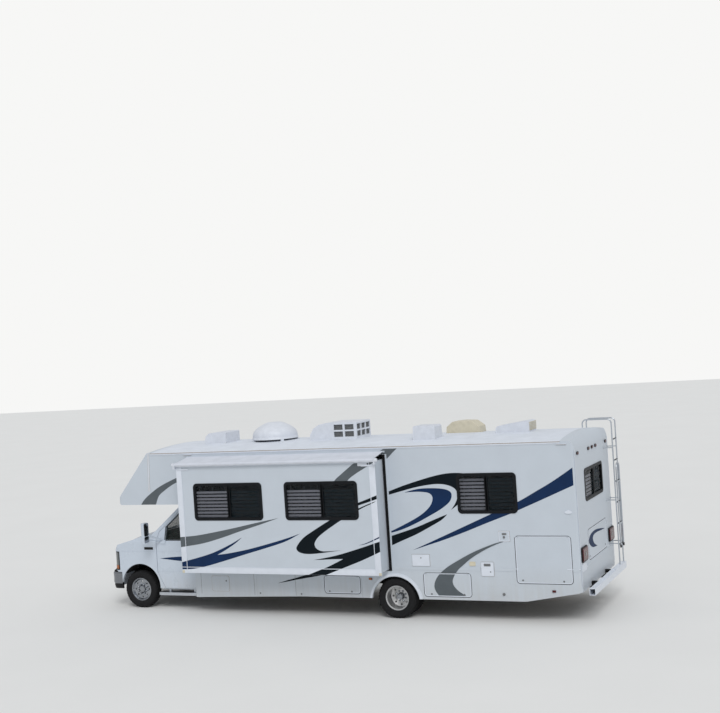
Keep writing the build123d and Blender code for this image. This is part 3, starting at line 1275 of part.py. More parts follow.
with BuildPart() as entry_door:
    door_x = (ENTRY_X[0] + GAP, ENTRY_X[1] - GAP)
    door_z = (ENTRY_Z[0] + GAP, ENTRY_Z[1] - GAP)
    block(door_x, (INNER_HALF, HOUSE_HALF), door_z)
    with BuildPart(mode=Mode.PRIVATE) as edge:
        block((door_x[0] - 1, entry_pin[0]), (entry_pin[1], HOUSE_HALF + 1), door_z)
        rod((*entry_pin, door_z[0] - 1), (*entry_pin, door_z[1] + 1), HINGE_INSET, Mode.SUBTRACT)
    add(edge.part, mode=Mode.SUBTRACT)
    for z in ((door_z[0] - 5, door_z[0] + 24), (door_z[1] - 24, door_z[1] + 5)):
        rod((*entry_pin, z[0]), (*entry_pin, z[1]), HINGE_PIN + RUNNING_FIT, Mode.SUBTRACT)
finish(entry_door, "entry_door")

# Roof equipment

with BuildPart() as air_conditioner:
    with BuildSketch(side_view(0)):
        Polygon(*AC_SIDE, align=None)
    extrude(amount=AC_HALF, both=True)
    fillet(air_conditioner.edges().filter_by(Axis.Z).group_by(Axis.X)[-1], 30)
    ac_top = ROOF_TOP + AC_HEIGHT
    ac_inner = AC_HALF - AC_SHELL
    cavity_x = (AC_X[1] - 485, AC_X[1] - AC_SHELL)
    cavity_z = (ROOF_TOP + AC_SHELL, ac_top - AC_SHELL)
    block(cavity_x, (-ac_inner, ac_inner), cavity_z, Mode.SUBTRACT)
    rows = ((ROOF_TOP + 40, ac_top - 170), (ac_top - 140, ac_top - 40))
    for x in ((AC_X[1] - 460, AC_X[1] - 275), (AC_X[1] - 235, AC_X[1] - 50)):
        for z in rows:
            block(x, (-AC_HALF - 5, AC_HALF + 5), z, Mode.SUBTRACT)
    for n in range(3):
        y = -AC_HALF + 50 + n * 210
        for z in rows:
            block((AC_X[1] - 70, AC_X[1] + 30), (y, y + 180), z, Mode.SUBTRACT)
    coil_half = AC_HALF - 60
    block((AC_X[1] - 420, AC_X[1] - 330), (-coil_half, coil_half), (ROOF_TOP + 20, ac_top - 50))
    add(roof.part, mode=Mode.SUBTRACT)
finish(air_conditioner, "air_conditioner")

with BuildPart() as satellite_dome:
    for inset in (0, 8):
        with BuildSketch(side_view(0)):
            with BuildLine():
                middle = DOME_CENTRE[0]
                edge = middle + DOME_RADIUS - inset
                top = DOME_RIM + DOME_HEIGHT - inset
                low = DOME_RIM - inset
                Polyline((middle, top), (middle, low), (edge + 22, low), (edge + 8, low + 45))
                across, rise = edge + 8 - middle, top - low - 45
                curve = [
                    (middle + across * cos(radians(a)), low + 45 + rise * sin(radians(a)))
                    for a in (0, 30, 60, 90)
                ]
                Spline(*curve, tangents=((0, 1), (-1, 0)))
            make_face()
        dome_axis = Axis((middle, DOME_CENTRE[1], 0), (0, 0, 1))
        revolve(axis=dome_axis, mode=Mode.SUBTRACT if inset else Mode.ADD)
    with Locations((*DOME_CENTRE, (ROOF_EDGE + DOME_RIM + 10) / 2)):
        with PolarLocations(DOME_RADIUS - 10, 4, start_angle=45):
            Box(60, 60, DOME_RIM + 10 - ROOF_EDGE)
    add(roof.part, mode=Mode.SUBTRACT)
finish(satellite_dome, "satellite_dome")

with BuildPart() as vent_covers:
    for y0, y1, outline in COVERS:
        with BuildSketch(side_view(y1)):
            Polygon(*((x, ROOF_TOP + z) for x, z in outline), align=None)
        extrude(amount=y1 - y0)
    add(roof.part, mode=Mode.SUBTRACT)
finish(vent_covers, "vent_covers")

# Ladder, rear bumper beam, lamps, awning

with BuildPart() as ladder:
    for y in LADDER_Y:
        with BuildLine() as ladder_path:
            FilletPolyline(
                (LADDER_X, y, BEAM_Z[1]),
                (LADDER_X, y, LADDER_TOP),
                (HOUSE_REAR - 360, y, LADDER_TOP),
                (HOUSE_REAR - 360, y, ROOF_EDGE + 25),
                radius=75,
            )
        with BuildSketch(Plane(origin=ladder_path.line @ 0, z_dir=ladder_path.line % 0)):
            Circle(LADDER_TUBE / 2)
        sweep()
        for z in LADDER_FEET:
            rod((HOUSE_REAR, y, z), (LADDER_X, y, z), 9)
    for z in LADDER_RUNGS:
        block((LADDER_X - 8, LADDER_X + 8), LADDER_Y, (z - 6, z + 6))
    add(roof.part, mode=Mode.SUBTRACT)
    fold_y = (LADDER_Y[0] + 35, LADDER_Y[1] - 35)
    with BuildLine() as fold_path:
        FilletPolyline(
            (FOLD_X, fold_y[0], 930),
            (FOLD_X, fold_y[0], 2430),
            (FOLD_X, fold_y[1], 2430),
            (FOLD_X, fold_y[1], 930),
            radius=90,
        )
    with BuildSketch(Plane(origin=fold_path.line @ 0, z_dir=fold_path.line % 0)):
        Circle(LADDER_TUBE / 2)
    sweep()
    for z in LADDER_RUNGS[1::2][:2]:
        block((FOLD_X - 8, FOLD_X + 8), fold_y, (z - 6, z + 6))
        link_y = (fold_y[0] + fold_y[1]) / 2
        block((LADDER_X + 8, FOLD_X - 8), (link_y - 6, link_y + 6), (z - 4, z + 4))
finish(ladder, "ladder")

with BuildPart() as rear_bumper:
    block(BEAM_X, (-BEAM_HALF, BEAM_HALF), BEAM_Z)
    hollow = (BEAM_X[0] + BEAM_WALL, BEAM_X[1] - BEAM_WALL)
    hollow_z = (BEAM_Z[0] + BEAM_WALL, BEAM_Z[1] - BEAM_WALL)
    block(hollow, (-BEAM_HALF - 5, BEAM_HALF + 5), hollow_z, Mode.SUBTRACT)
    for y in (-430, 430):
        block((BEAM_X[0], BEAM_X[1]), (y - 25, y + 25), (BEAM_Z[1], BEAM_Z[1] + 12))
finish(rear_bumper, "rear_bumper")

with BuildPart() as lamps:
    for side in (LEFT, RIGHT):
        block((HOUSE_REAR, HOUSE_REAR + 22), sides(side, 850, 1200), (1030, 1250))
        for x, z in ((WHEELBASE - 465, 706), (HOUSE_REAR - 482, 547)):
            block((x - 30, x + 30), sides(side, HOUSE_HALF, HOUSE_HALF + 14), (z - 18, z + 18))
    for y in REAR_LIGHTS:
        block((HOUSE_REAR, HOUSE_REAR + 14), (y - 50, y + 50), REAR_LIGHT_Z)
    slope = Vector(-1, 0, SLOPE).normalized()
    for y in (-1000, -262, 0, 262, 1000):
        spot = Vector(BROW[0] + SLOPE * (FRONT_LIGHT_Z - BROW[1]), y, FRONT_LIGHT_Z)
        rod(spot, spot + slope * 16, 28)
finish(lamps, "lamps")

with BuildPart() as awning:
    awning_y = HOUSE_HALF + AWNING_RADIUS
    rod((AWNING_X[0], awning_y, AWNING_Z), (AWNING_X[1], awning_y, AWNING_Z), AWNING_RADIUS)
    block(AWNING_X, (HOUSE_HALF, HOUSE_HALF + 25), (AWNING_Z, AWNING_Z + 80))
    for x in (AWNING_X[0] + 60, AWNING_X[1] - 60):
        block((x - 22, x + 22), (HOUSE_HALF, HOUSE_HALF + 35), (1010, AWNING_Z))
finish(awning, "awning")
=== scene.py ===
from math import cos, pi, radians, sin, sqrt

import bmesh
import bpy
from mathutils import Matrix, Vector


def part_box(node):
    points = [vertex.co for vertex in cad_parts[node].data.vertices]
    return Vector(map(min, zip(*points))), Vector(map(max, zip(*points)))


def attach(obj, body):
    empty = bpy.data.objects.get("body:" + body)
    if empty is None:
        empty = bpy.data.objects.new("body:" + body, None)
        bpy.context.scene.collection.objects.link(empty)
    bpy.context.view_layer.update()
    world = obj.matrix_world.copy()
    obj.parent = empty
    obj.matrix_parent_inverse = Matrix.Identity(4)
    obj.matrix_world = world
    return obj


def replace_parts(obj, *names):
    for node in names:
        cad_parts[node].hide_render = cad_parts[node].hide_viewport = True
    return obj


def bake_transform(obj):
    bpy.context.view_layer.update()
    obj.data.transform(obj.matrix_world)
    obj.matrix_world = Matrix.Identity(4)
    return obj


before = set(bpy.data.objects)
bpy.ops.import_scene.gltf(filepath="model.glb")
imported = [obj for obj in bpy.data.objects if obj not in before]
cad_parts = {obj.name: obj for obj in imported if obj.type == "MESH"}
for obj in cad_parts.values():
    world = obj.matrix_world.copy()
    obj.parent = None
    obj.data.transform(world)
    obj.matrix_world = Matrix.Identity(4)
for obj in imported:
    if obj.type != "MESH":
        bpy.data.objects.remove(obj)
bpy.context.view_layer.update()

# Places, in metres: X from the front axle to the rear, Y from the middle to
# the passenger's side, Z up from the ground

wheel_low, wheel_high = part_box("front_left_wheel")
roof_low, roof_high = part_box("roof")
slide_low, slide_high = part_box("slide_room")
AXLE_X = (wheel_low.x + wheel_high.x) / 2
MIDDLE_Y = (roof_low.y + roof_high.y) / 2
HUB_Z = (wheel_low.z + wheel_high.z) / 2
HOUSE_HALF = (roof_high.y - roof_low.y) / 2
HOUSE_REAR = 8.89
ROOF_EDGE = 3.055
ROOF_TOP = roof_high.z
SLIDE_FACE = MIDDLE_Y - slide_low.y
SLIDE_LOW_X = slide_low.x - AXLE_X
SLIDE_HIGH_X = slide_high.x - AXLE_X
SLIDE_LOW_Z = slide_low.z
SLIDE_HIGH_Z = slide_high.z
SLIDE_WALL_TOP = SLIDE_HIGH_Z - 0.036
CAB_HALF = 1.007
CAB_BELT = 1.3
CAB_LEAN = 0.1765
WHEELBASE = 5.537
FRONT_X = -0.612
FRONT_LOW = 0.76
FRONT_LEAN = 0.0944
CAP_LOW_X = -0.156
CAP_LOW_Z = 2.230
CAP_RUN = 0.746
CAP_RISE = 0.912

# Thicknesses, gaps and bounds of plates, trims and doors

PAINT = 0.0012
PLATE = 0.006
HATCH = 0.008
DOOR_GAP = 0.006
BAY_CORNER = 0.06
TRIM_WIDTH = 0.115
TRIM_THICKNESS = 0.005
CREASE = 0.009
CREASE_Z = 1.113
OPENING = (1.455, 5.455, 0.866, 2.885)
OPENING_TRIM = (1.436, 5.53, 0.80, 2.92)

LEFT, RIGHT = -1, 1
SIDES = ((LEFT, "left"), (RIGHT, "right"))

# Windows: X or Y from and to, Z from and to, and the middle bar

LEFT_WINDOW = (6.80, 7.87, 1.858, 2.553, 7.33)
SLIDE_WINDOWS = (
    (1.78, 3.22, 1.82, 2.508, 2.522),
    (3.674, 5.114, 1.82, 2.508, 4.416),
)
RIGHT_WINDOWS = (
    (1.80, 2.90, 1.75, 2.45, 2.35),
    (5.30, 6.40, 1.858, 2.553, 5.85),
    (7.50, 8.20, 1.858, 2.40, 7.85),
)
REAR_WINDOW = (-0.665, 0.665, 1.96, 2.52, 0.0)


def at(x, y, z):
    """A point of the vehicle's grid, in the frame."""
    return Vector((AXLE_X + x, MIDDLE_Y + y, z))


def left_side(u, v, out):
    """Place on the driver's side wall: X, Z and the distance out from it."""
    return at(u, -HOUSE_HALF - out, v)


def right_side(u, v, out):
    """Place on the passenger's side wall."""
    return at(u, HOUSE_HALF + out, v)


def slide_side(u, v, out):
    """Place on the slide-out room's face."""
    return at(u, -SLIDE_FACE - out, v)


def rear_side(u, v, out):
    """Place on the rear wall: Y, Z and the distance out from it."""
    return at(HOUSE_REAR + out, u, v)


def front_face(u, v, out):
    """Place on the leaning front of the cab: Y, Z and the distance out from it."""
    return at(FRONT_X + (v - FRONT_LOW) * FRONT_LEAN - out, u, v)


def cab_side(side):
    """Place on one side of the cab: X, Z and the distance out from the skin."""
    def place(u, v, out):
        lean = max(0.0, v - CAB_BELT) * CAB_LEAN
        return at(u, side * (CAB_HALF - lean + out), v)
    return place


def roof_height(y):
    """Height of the crowned roof at this distance from the middle."""
    crown = ROOF_TOP - ROOF_EDGE
    radius = (HOUSE_HALF ** 2 + crown ** 2) / (2 * crown)
    return ROOF_TOP - radius + sqrt(radius ** 2 - y ** 2)


WALLS = (left_side, right_side)

# Compartment doors and the rear hatch: side, bounds of the opening, and locks

DOORS = {
    "bay_door_front": (left_side, (4.151, 4.865, 0.428, 0.750), ((4.249, 0.468), (4.688, 0.468))),
    "bay_door_middle": (left_side, (6.082, 6.956, 0.412, 0.828), ((6.218, 0.457), (6.82, 0.457))),
    "bay_door_rear": (left_side, (7.775, 8.745, 0.667, 1.475), ((7.88, 0.723), (8.587, 0.713))),
    "bay_door_right": (right_side, (6.300, 7.500, 0.420, 0.770), ((6.45, 0.465), (7.35, 0.465))),
    "rear_hatch": (rear_side, (-0.65, 0.73, 0.96, 1.48), ((-0.60, 1.024), (0.575, 1.024))),
}


# Finishes

def node(tree, kind, **values):
    """A new shader node with these inputs set."""
    made = tree.nodes.new("ShaderNode" + kind)
    for name, value in values.items():
        made.inputs[name.replace("_", " ")].default_value = value
    return made


def join(tree, *links):
    """Links between shader nodes: node and output, node and input."""
    for start, output, end, entry in links:
        tree.links.new(start.outputs[output], end.inputs[entry])


def finish(name, colour, rough=0.45, metal=0.0, grain=30.0, vary=0.06, bump=0.05, bump_grain=400.0,
           coat=0.0, rough_vary=0.06, gloss=0.5):
    """A material whose colour, roughness and surface vary with noise."""
    material = bpy.data.materials.new(name)
    material.use_nodes = True
    tree = material.node_tree
    shader = tree.nodes["Principled BSDF"]
    for entry, value in (("Metallic", metal), ("Coat Weight", coat), ("Specular IOR Level", gloss)):
        shader.inputs[entry].default_value = value
    place = node(tree, "TexCoord")
    noise = node(tree, "TexNoise", Scale=grain, Detail=5)
    ramp = node(tree, "ValToRGB")
    for element, position, shade in zip(ramp.color_ramp.elements, (0.3, 0.7), (1 - vary, 1 + vary)):
        element.position = position
        element.color = (*(min(1, c * shade) for c in colour), 1)
    spread = node(tree, "MapRange", To_Min=max(0.02, rough - rough_vary), To_Max=min(1, rough + rough_vary))
    fine = node(tree, "TexNoise", Scale=bump_grain)
    relief = node(tree, "Bump", Strength=bump, Distance=0.002)
    join(tree, (place, "Object", noise, "Vector"), (noise, "Fac", ramp, "Fac"),
         (ramp, "Color", shader, "Base Color"), (noise, "Fac", spread, "Value"),
         (spread, "Result", shader, "Roughness"), (place, "Object", fine, "Vector"),
         (fine, "Fac", relief, "Height"), (relief, "Normal", shader, "Normal"))
    return material


def tinted_towards_bottom(name, colour, bottom_tint, low, high, **looks):
    """A painted skin that takes on a brownish tint in vertical streaks, strongest at low and fading out by
    high.
    """
    material = finish(name, colour, **looks)
    tree = material.node_tree
    shader = tree.nodes["Principled BSDF"]
    untinted = shader.inputs["Base Color"].links[0].from_node
    place = node(tree, "TexCoord")
    parts = node(tree, "SeparateXYZ")
    height = node(tree, "MapRange", From_Min=high, From_Max=low, To_Max=0.5)
    stretch = node(tree, "Mapping", Scale=(9, 9, 0.8))
    streaks = node(tree, "TexNoise", Scale=2.2, Detail=8)
    amount = node(tree, "Math")
    amount.operation = "MULTIPLY"
    mix = node(tree, "Mix")
    mix.data_type = "RGBA"
    mix.inputs["B"].default_value = (*bottom_tint, 1)
    join(tree, (place, "Object", parts, "Vector"), (parts, "Z", height, "Value"),
         (place, "Object", stretch, "Vector"), (stretch, "Vector", streaks, "Vector"),
         (height, "Result", amount, 0), (streaks, "Fac", amount, 1), (amount, "Value", mix, "Factor"),
         (untinted, "Color", mix, "A"), (mix, "Result", shader, "Base Color"))
    return material


def see_through(name, tint, cover):
    """Tinted window glass that covers part of what is behind it."""
    material = finish(name, tint, rough=0.03, grain=6, vary=0.03, bump=0.0004, bump_grain=3,
                      rough_vary=0.004)
    material.node_tree.nodes["Principled BSDF"].inputs["Alpha"].default_value = cover
    return material


# Brownish tint that the shell and cab whites take on towards the bottom, in vertical streaks
BOTTOM_TINT = (0.42, 0.39, 0.33)
# The shell and cab whites are darker and bluer than the roof white: painted shade on the sides, which face
# away from the sky.
SHADED_SHELL_WHITE = tinted_towards_bottom("shell white in painted shade", (0.54, 0.59, 0.65), BOTTOM_TINT, 0.3, 1.0, rough=0.4, grain=3, vary=0.02,
                  bump=0.006, bump_grain=40)
SHADED_CAB_WHITE = tinted_towards_bottom("cab white in painted shade", (0.55, 0.61, 0.69), BOTTOM_TINT, 0.3, 0.8, rough=0.28, coat=0.3, grain=3,
                      vary=0.02, bump=0.002)
ROOF_WHITE = finish("roof white", (0.68, 0.72, 0.79), rough=0.6, grain=4, vary=0.05, bump=0.12,
                    bump_grain=250)
TRIM_WHITE = finish("trim white", (0.68, 0.72, 0.79), rough=0.35, grain=8, vary=0.03, bump=0.01)
COVER_WHITE = finish("cover white", (0.66, 0.69, 0.75), rough=0.45, grain=12, vary=0.05, bump=0.08)
CREAM = finish("cream plastic", (0.62, 0.57, 0.44), rough=0.45, grain=15, vary=0.06, bump=0.08)
AGED = finish("aged sealant", (0.36, 0.31, 0.26), rough=0.7, grain=25, vary=0.15, bump=0.2, bump_grain=120)
FRAME_BLACK = finish("black frame", (0.005, 0.006, 0.008), rough=0.45, vary=0.2, bump=0.05, bump_grain=700,
                     gloss=0.2)
BLACK = finish("black plastic", (0.008, 0.008, 0.009), rough=0.6, vary=0.2, bump=0.25, bump_grain=900,
               gloss=0.3)
SEAL = finish("black seal", (0.005, 0.005, 0.006), rough=0.75, vary=0.2, bump=0.15, gloss=0.2)
GRAY = finish("gray plastic", (0.16, 0.165, 0.17), rough=0.55, vary=0.08, bump=0.2, bump_grain=700)
SEAT_CLOTH = finish("seat cloth", (0.10, 0.10, 0.11), rough=0.9, grain=40, vary=0.12, bump=0.5,
                    bump_grain=1400, gloss=0.2)
IRON = finish("painted iron", (0.008, 0.008, 0.009), rough=0.7, vary=0.3, bump=0.35, bump_grain=90,
              gloss=0.2)
CAST = finish("cast metal", (0.06, 0.055, 0.05), rough=0.6, metal=0.6, vary=0.2, bump=0.4, bump_grain=120)
STEEL = finish("steel", (0.50, 0.50, 0.50), rough=0.32, metal=1.0, vary=0.08, bump=0.06)
CHROME = finish("chrome", (0.33, 0.345, 0.37), rough=0.12, metal=1.0, vary=0.03, bump=0.01, rough_vary=0.03)
ALUMINIUM = finish("aluminium", (0.56, 0.59, 0.63), rough=0.3, metal=0.9, vary=0.05, bump=0.05,
                   bump_grain=500)
RUBBER = finish("tyre rubber", (0.011, 0.011, 0.012), rough=0.82, grain=18, vary=0.25, bump=0.3,
                bump_grain=260, gloss=0.25)
LAMP_CLEAR = finish("clear lamp", (0.15, 0.16, 0.16), rough=0.12, grain=60, vary=0.10, bump=0.4,
                    bump_grain=120)
RED = finish("red lens", (0.075, 0.004, 0.007), rough=0.2, grain=90, vary=0.15, bump=0.4, bump_grain=150)
AMBER = finish("amber lens", (0.36, 0.10, 0.012), rough=0.2, grain=90, vary=0.12, bump=0.4, bump_grain=150)
PLYWOOD = finish("plywood", (0.30, 0.22, 0.13), rough=0.6, grain=7, vary=0.18, bump=0.2, bump_grain=60)
BLIND = finish("blind slats", (0.30, 0.31, 0.36), rough=0.6, vary=0.03, bump=0.01, gloss=0.2)
DARK_BLIND = finish("slats behind the screen", (0.004, 0.012, 0.018), rough=0.7, vary=0.1, bump=0.01,
                    gloss=0.05)
# Near-black sheet behind the blinds: painted shade of the room inside
INSIDE_SHADE = finish("painted shade behind the blinds", (0.0015, 0.002, 0.003), rough=0.9, vary=0.2, bump=0.02,
                 gloss=0.0)
BRIGHT = finish("plated bumper", (0.24, 0.25, 0.27), rough=0.16, metal=1.0, vary=0.04, bump=0.01,
                rough_vary=0.04)
NAVY = finish("navy stripe", (0.003, 0.021, 0.075), rough=0.55, grain=5, vary=0.10, bump=0.02, gloss=0.2)
BLACK_STRIPE = finish("black stripe", (0.0012, 0.0050, 0.0085), rough=0.55, grain=5, vary=0.12, bump=0.02,
                      gloss=0.15)
GRAY_STRIPE = finish("gray stripe", (0.100, 0.116, 0.128), rough=0.55, grain=5, vary=0.06, bump=0.03,
                     gloss=0.2)
FABRIC = finish("awning fabric", (0.62, 0.65, 0.72), rough=0.8, grain=6, vary=0.05, bump=0.3,
                bump_grain=900)
WINDOW = see_through("tinted window", (0.010, 0.015, 0.019), 0.20)
CAB_WINDOW = see_through("cab window", (0.005, 0.010, 0.008), 0.46)

CAD_FINISHES = {
    SHADED_CAB_WHITE: ("cab_body", "hood", "left_cab_door", "right_cab_door", "left_mirror", "right_mirror"),
    SHADED_SHELL_WHITE: ("left_wall", "right_wall", "cab_over", "rear_wall", "slide_room", "bay_door_front",
            "bay_door_middle", "bay_door_rear", "bay_door_right", "rear_hatch", "entry_door"),
    ROOF_WHITE: ("roof",),
    TRIM_WHITE: ("rear_bumper",),
    COVER_WHITE: ("air_conditioner", "satellite_dome", "vent_covers", "topper_roller"),
    FRAME_BLACK: ("window_frames", "slide_frames"),
    WINDOW: ("glass", "slide_glass"),
    CAB_WINDOW: ("left_door_glass", "right_door_glass"),
    IRON: ("chassis", "crossmembers", "receiver", "storage_boxes"),
    CAST: ("engine", "front_axle", "rear_axle", "left_knuckle", "right_knuckle"),
    STEEL: ("exhaust", "rear_left_wheel", "rear_right_wheel"),
    CHROME: ("front_left_wheel", "front_right_wheel", "front_bumper"),
    ALUMINIUM: ("steps", "ladder"),
    RUBBER: ("front_left_tyre", "front_right_tyre", "rear_left_tyre", "rear_right_tyre"),
    BLACK: ("grille", "tanks", "steering_wheel"),
    GRAY: ("dashboard",),
    SEAT_CLOTH: ("cab_seats",),
    LAMP_CLEAR: ("headlamps",),
    RED: ("lamps",),
    PLYWOOD: ("house_floor",),
    FABRIC: ("topper_fabric", "awning"),
}

# The slot of each finish, looked up for a piece that names no other

SLOTS = {material: slot for slot, materials in (
    ("white_plastic", (TRIM_WHITE, COVER_WHITE, CREAM, BLIND, DARK_BLIND)),
    ("cab_white", (SHADED_CAB_WHITE,)),
    ("black_plastic", (BLACK, SEAL, INSIDE_SHADE)),
    ("frame_black", (FRAME_BLACK,)),
    ("gray_plastic", (GRAY, AGED)),
    ("chrome", (CHROME, BRIGHT)),
    ("aluminium", (ALUMINIUM,)),
    ("iron", (IRON,)),
    ("tyre", (RUBBER,)),
    ("lamp_red", (RED,)),
    ("lamp_clear", (LAMP_CLEAR, AMBER)),
) for material in materials}


def dress_cad_nodes():
    """Give every carried-over CAD node its finish."""
    for material, names in CAD_FINISHES.items():
        for name in names:
            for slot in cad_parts[name].material_slots:
                slot.material = material


# Outlines and curves

def arc(start, sweep, steps):
    """Angles from a start through a sweep in degrees, both ends included."""
    return [radians(start + sweep * n / steps) for n in range(steps + 1)]


def full_turn(steps):
    """Angles of a full turn, each once."""
    return arc(0, 360, steps)[:-1]


def rectangle(x0, x1, z0, z1):
    """Corners of an upright rectangle."""
    return [(x0, z0), (x1, z0), (x1, z1), (x0, z1)]


def rounded(x0, x1, z0, z1, radius, steps=6):
    """Outline of a rectangle with round corners."""
    corners = ((x1 - radius, z0 + radius, -90), (x1 - radius, z1 - radius, 0),
               (x0 + radius, z1 - radius, 90), (x0 + radius, z0 + radius, 180))
    return [(u + radius * cos(a), v + radius * sin(a)) for u, v, start in corners
            for a in arc(start, 90, steps)]


def inset(bounds, margin, radius):
    """Rounded outline of a rectangle drawn in by a margin."""
    x0, x1, z0, z1 = bounds
    return rounded(x0 + margin, x1 - margin, z0 + margin, z1 - margin, radius)


def around(u, v, wide, high, radius):
    """Rounded outline about a point, from its half width and half height."""
    return rounded(u - wide, u + wide, v - high, v + high, radius)


def oval(u, v, wide, high, steps=24):
    """Outline of a circle or an ellipse."""
    return [(u + wide * cos(a), v + high * sin(a)) for a in full_turn(steps)]


def curve_through(points, steps=8):
    """Points of a smooth curve through the given ones, without the last."""
    if len(points) < 3:
        return [Vector(p) for p in points[:-1]]
    held = [Vector(p) for p in points]
    held = [2 * held[0] - held[1]] + held + [2 * held[-1] - held[-2]]
    smooth = []
    for a, b, c, d in zip(held, held[1:], held[2:], held[3:]):
        for n in range(steps):
            t = n / steps
            smooth.append(0.5 * (2 * b + (c - a) * t + (2 * a - 5 * b + 4 * c - d) * t * t
                                 + (3 * b - a - 3 * c + d) * t ** 3))
    return smooth


# Making pieces

def add(name, data):
    """A new object of the scene."""
    made = bpy.data.objects.new(name, data)
    bpy.context.scene.collection.objects.link(made)
    return made


def settle(made):
    """Apply an object's modifiers to its mesh."""
    bpy.context.view_layer.update()
    shaped = bpy.data.meshes.new_from_object(made.evaluated_get(bpy.context.evaluated_depsgraph_get()))
    made.modifiers.clear()
    made.data = shaped


class Piece:
    """A mesh put together from closed parts."""

    def __init__(self):
        self.mesh = bmesh.new()

    def hull(self, rings, loop=False):
        """Skin that joins rings of points, with capped ends or closed in a loop."""
        mesh = self.mesh
        rows = [[mesh.verts.new(p) for p in ring] for ring in rings]
        count = len(rows[0])
        for low, high in zip(rows, rows[1:] + rows[:1] if loop else rows[1:]):
            for i in range(count):
                j = (i + 1) % count
                mesh.faces.new((low[i], low[j], high[j], high[i]))
        if not loop:
            mesh.faces.new(rows[0][::-1])
            mesh.faces.new(rows[-1])

    def slab(self, outline, place, low, high):
        """Plate between two distances from a surface, with this outline on it."""
        self.hull([[place(u, v, w) for u, v in outline] for w in (low, high)])

    def ring(self, outer, inner, place, low, high):
        """Frame between an outer and an inner outline with the same number of points."""
        sections = ((outer, low), (outer, high), (inner, high), (inner, low))
        self.hull([[place(u, v, w) for u, v in outline] for outline, w in sections], loop=True)

    def hoop(self, place, profile, sides):
        """Hollow turned form from (distance along a place's axis, radius) points."""
        self.hull([[place(r * cos(a), r * sin(a), w) for w, r in profile] for a in full_turn(sides)],
                  loop=True)

    def lathe(self, origin, axis, profile, sides=48):
        """Solid turned form from (distance along the axis, radius) points."""
        axis = Vector(axis).normalized()
        across = axis.orthogonal().normalized()
        other = axis.cross(across)
        self.hull([[origin + axis * along + (across * cos(a) + other * sin(a)) * radius
                    for a in full_turn(sides)] for along, radius in profile])

    def box(self, x, y, z, bevel=0.0):
        """Block of the vehicle's grid with softened edges."""
        made = bmesh.ops.create_cube(self.mesh, size=1)["verts"]
        middle = at(sum(x) / 2, sum(y) / 2, sum(z) / 2)
        size = (x[1] - x[0], y[1] - y[0], z[1] - z[0])
        for vertex in made:
            vertex.co = Vector(a * b for a, b in zip(vertex.co, size)) + middle
        if bevel:
            edges = {edge for vertex in made for edge in vertex.link_edges}
            bmesh.ops.bevel(self.mesh, geom=list(edges), offset=bevel, segments=3, affect="EDGES",
                            profile=0.5)

    def tube(self, points, radius, sides=16):
        """Round tube along points of the frame."""
        rings = []
        across = None
        for before, point, after in zip(points[:1] + points, points, points[1:] + points[-1:]):
            along = (after - before).normalized()
            if across is None:
                across = along.orthogonal().normalized()
            across = (across - along * across.dot(along)).normalized()
            other = along.cross(across)
            rings.append([point + (across * cos(a) + other * sin(a)) * radius for a in full_turn(sides)])
        self.hull(rings)

    def done(self, name, material, body=None, slot=None, soften=40):
        """Turn the parts into one object, riding on a body where one is named; its material's slot is looked
        up but not applied.
        """
        bmesh.ops.recalc_face_normals(self.mesh, faces=self.mesh.faces[:])
        data = bpy.data.meshes.new(name)
        self.mesh.to_mesh(data)
        self.mesh.free()
        made = add(name, data)
        data.materials.append(material)
        data.shade_smooth()
        data.set_sharp_from_angle(angle=radians(soften))
        if body:
            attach(made, body)
            slot = slot or SLOTS[material]
        return made


def cutter(outline, place, depth=0.05):
    """A block to cut with, that goes through a surface."""
    piece = Piece()
    piece.slab(outline, place, -depth, depth)
    return piece.done("cutter", SHADED_SHELL_WHITE)


def stripe(name, runs, place, material, body, out=0.0, without=(), within=None):
    """A painted stripe: smooth runs of points, each up to the next one's first, cut to its panel."""
    outline = []
    for run, after in zip(runs, runs[1:] + runs[:1]):
        outline += [tuple(p) for p in curve_through([*run, after[0]])]
    piece = Piece()
    piece.slab(outline, place, 0.0, out + PAINT)
    made = piece.done(name, material)
    tools = [(cutter(hole, place), "DIFFERENCE") for hole in without]
    if within:
        tools.append((cutter(within, place), "INTERSECT"))
    for tool, operation in tools:
        cut = made.modifiers.new("cut", "BOOLEAN")
        cut.operation = operation
        cut.solver = "EXACT"
        cut.object = tool
        settle(made)
        bpy.data.objects.remove(tool)
    made.data.shade_flat()
    if not len(made.data.polygons):
        bpy.data.objects.remove(made)
        return
    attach(made, body)


# Stripes: a finish, and smooth runs of X and Z, each up to the next one's first point

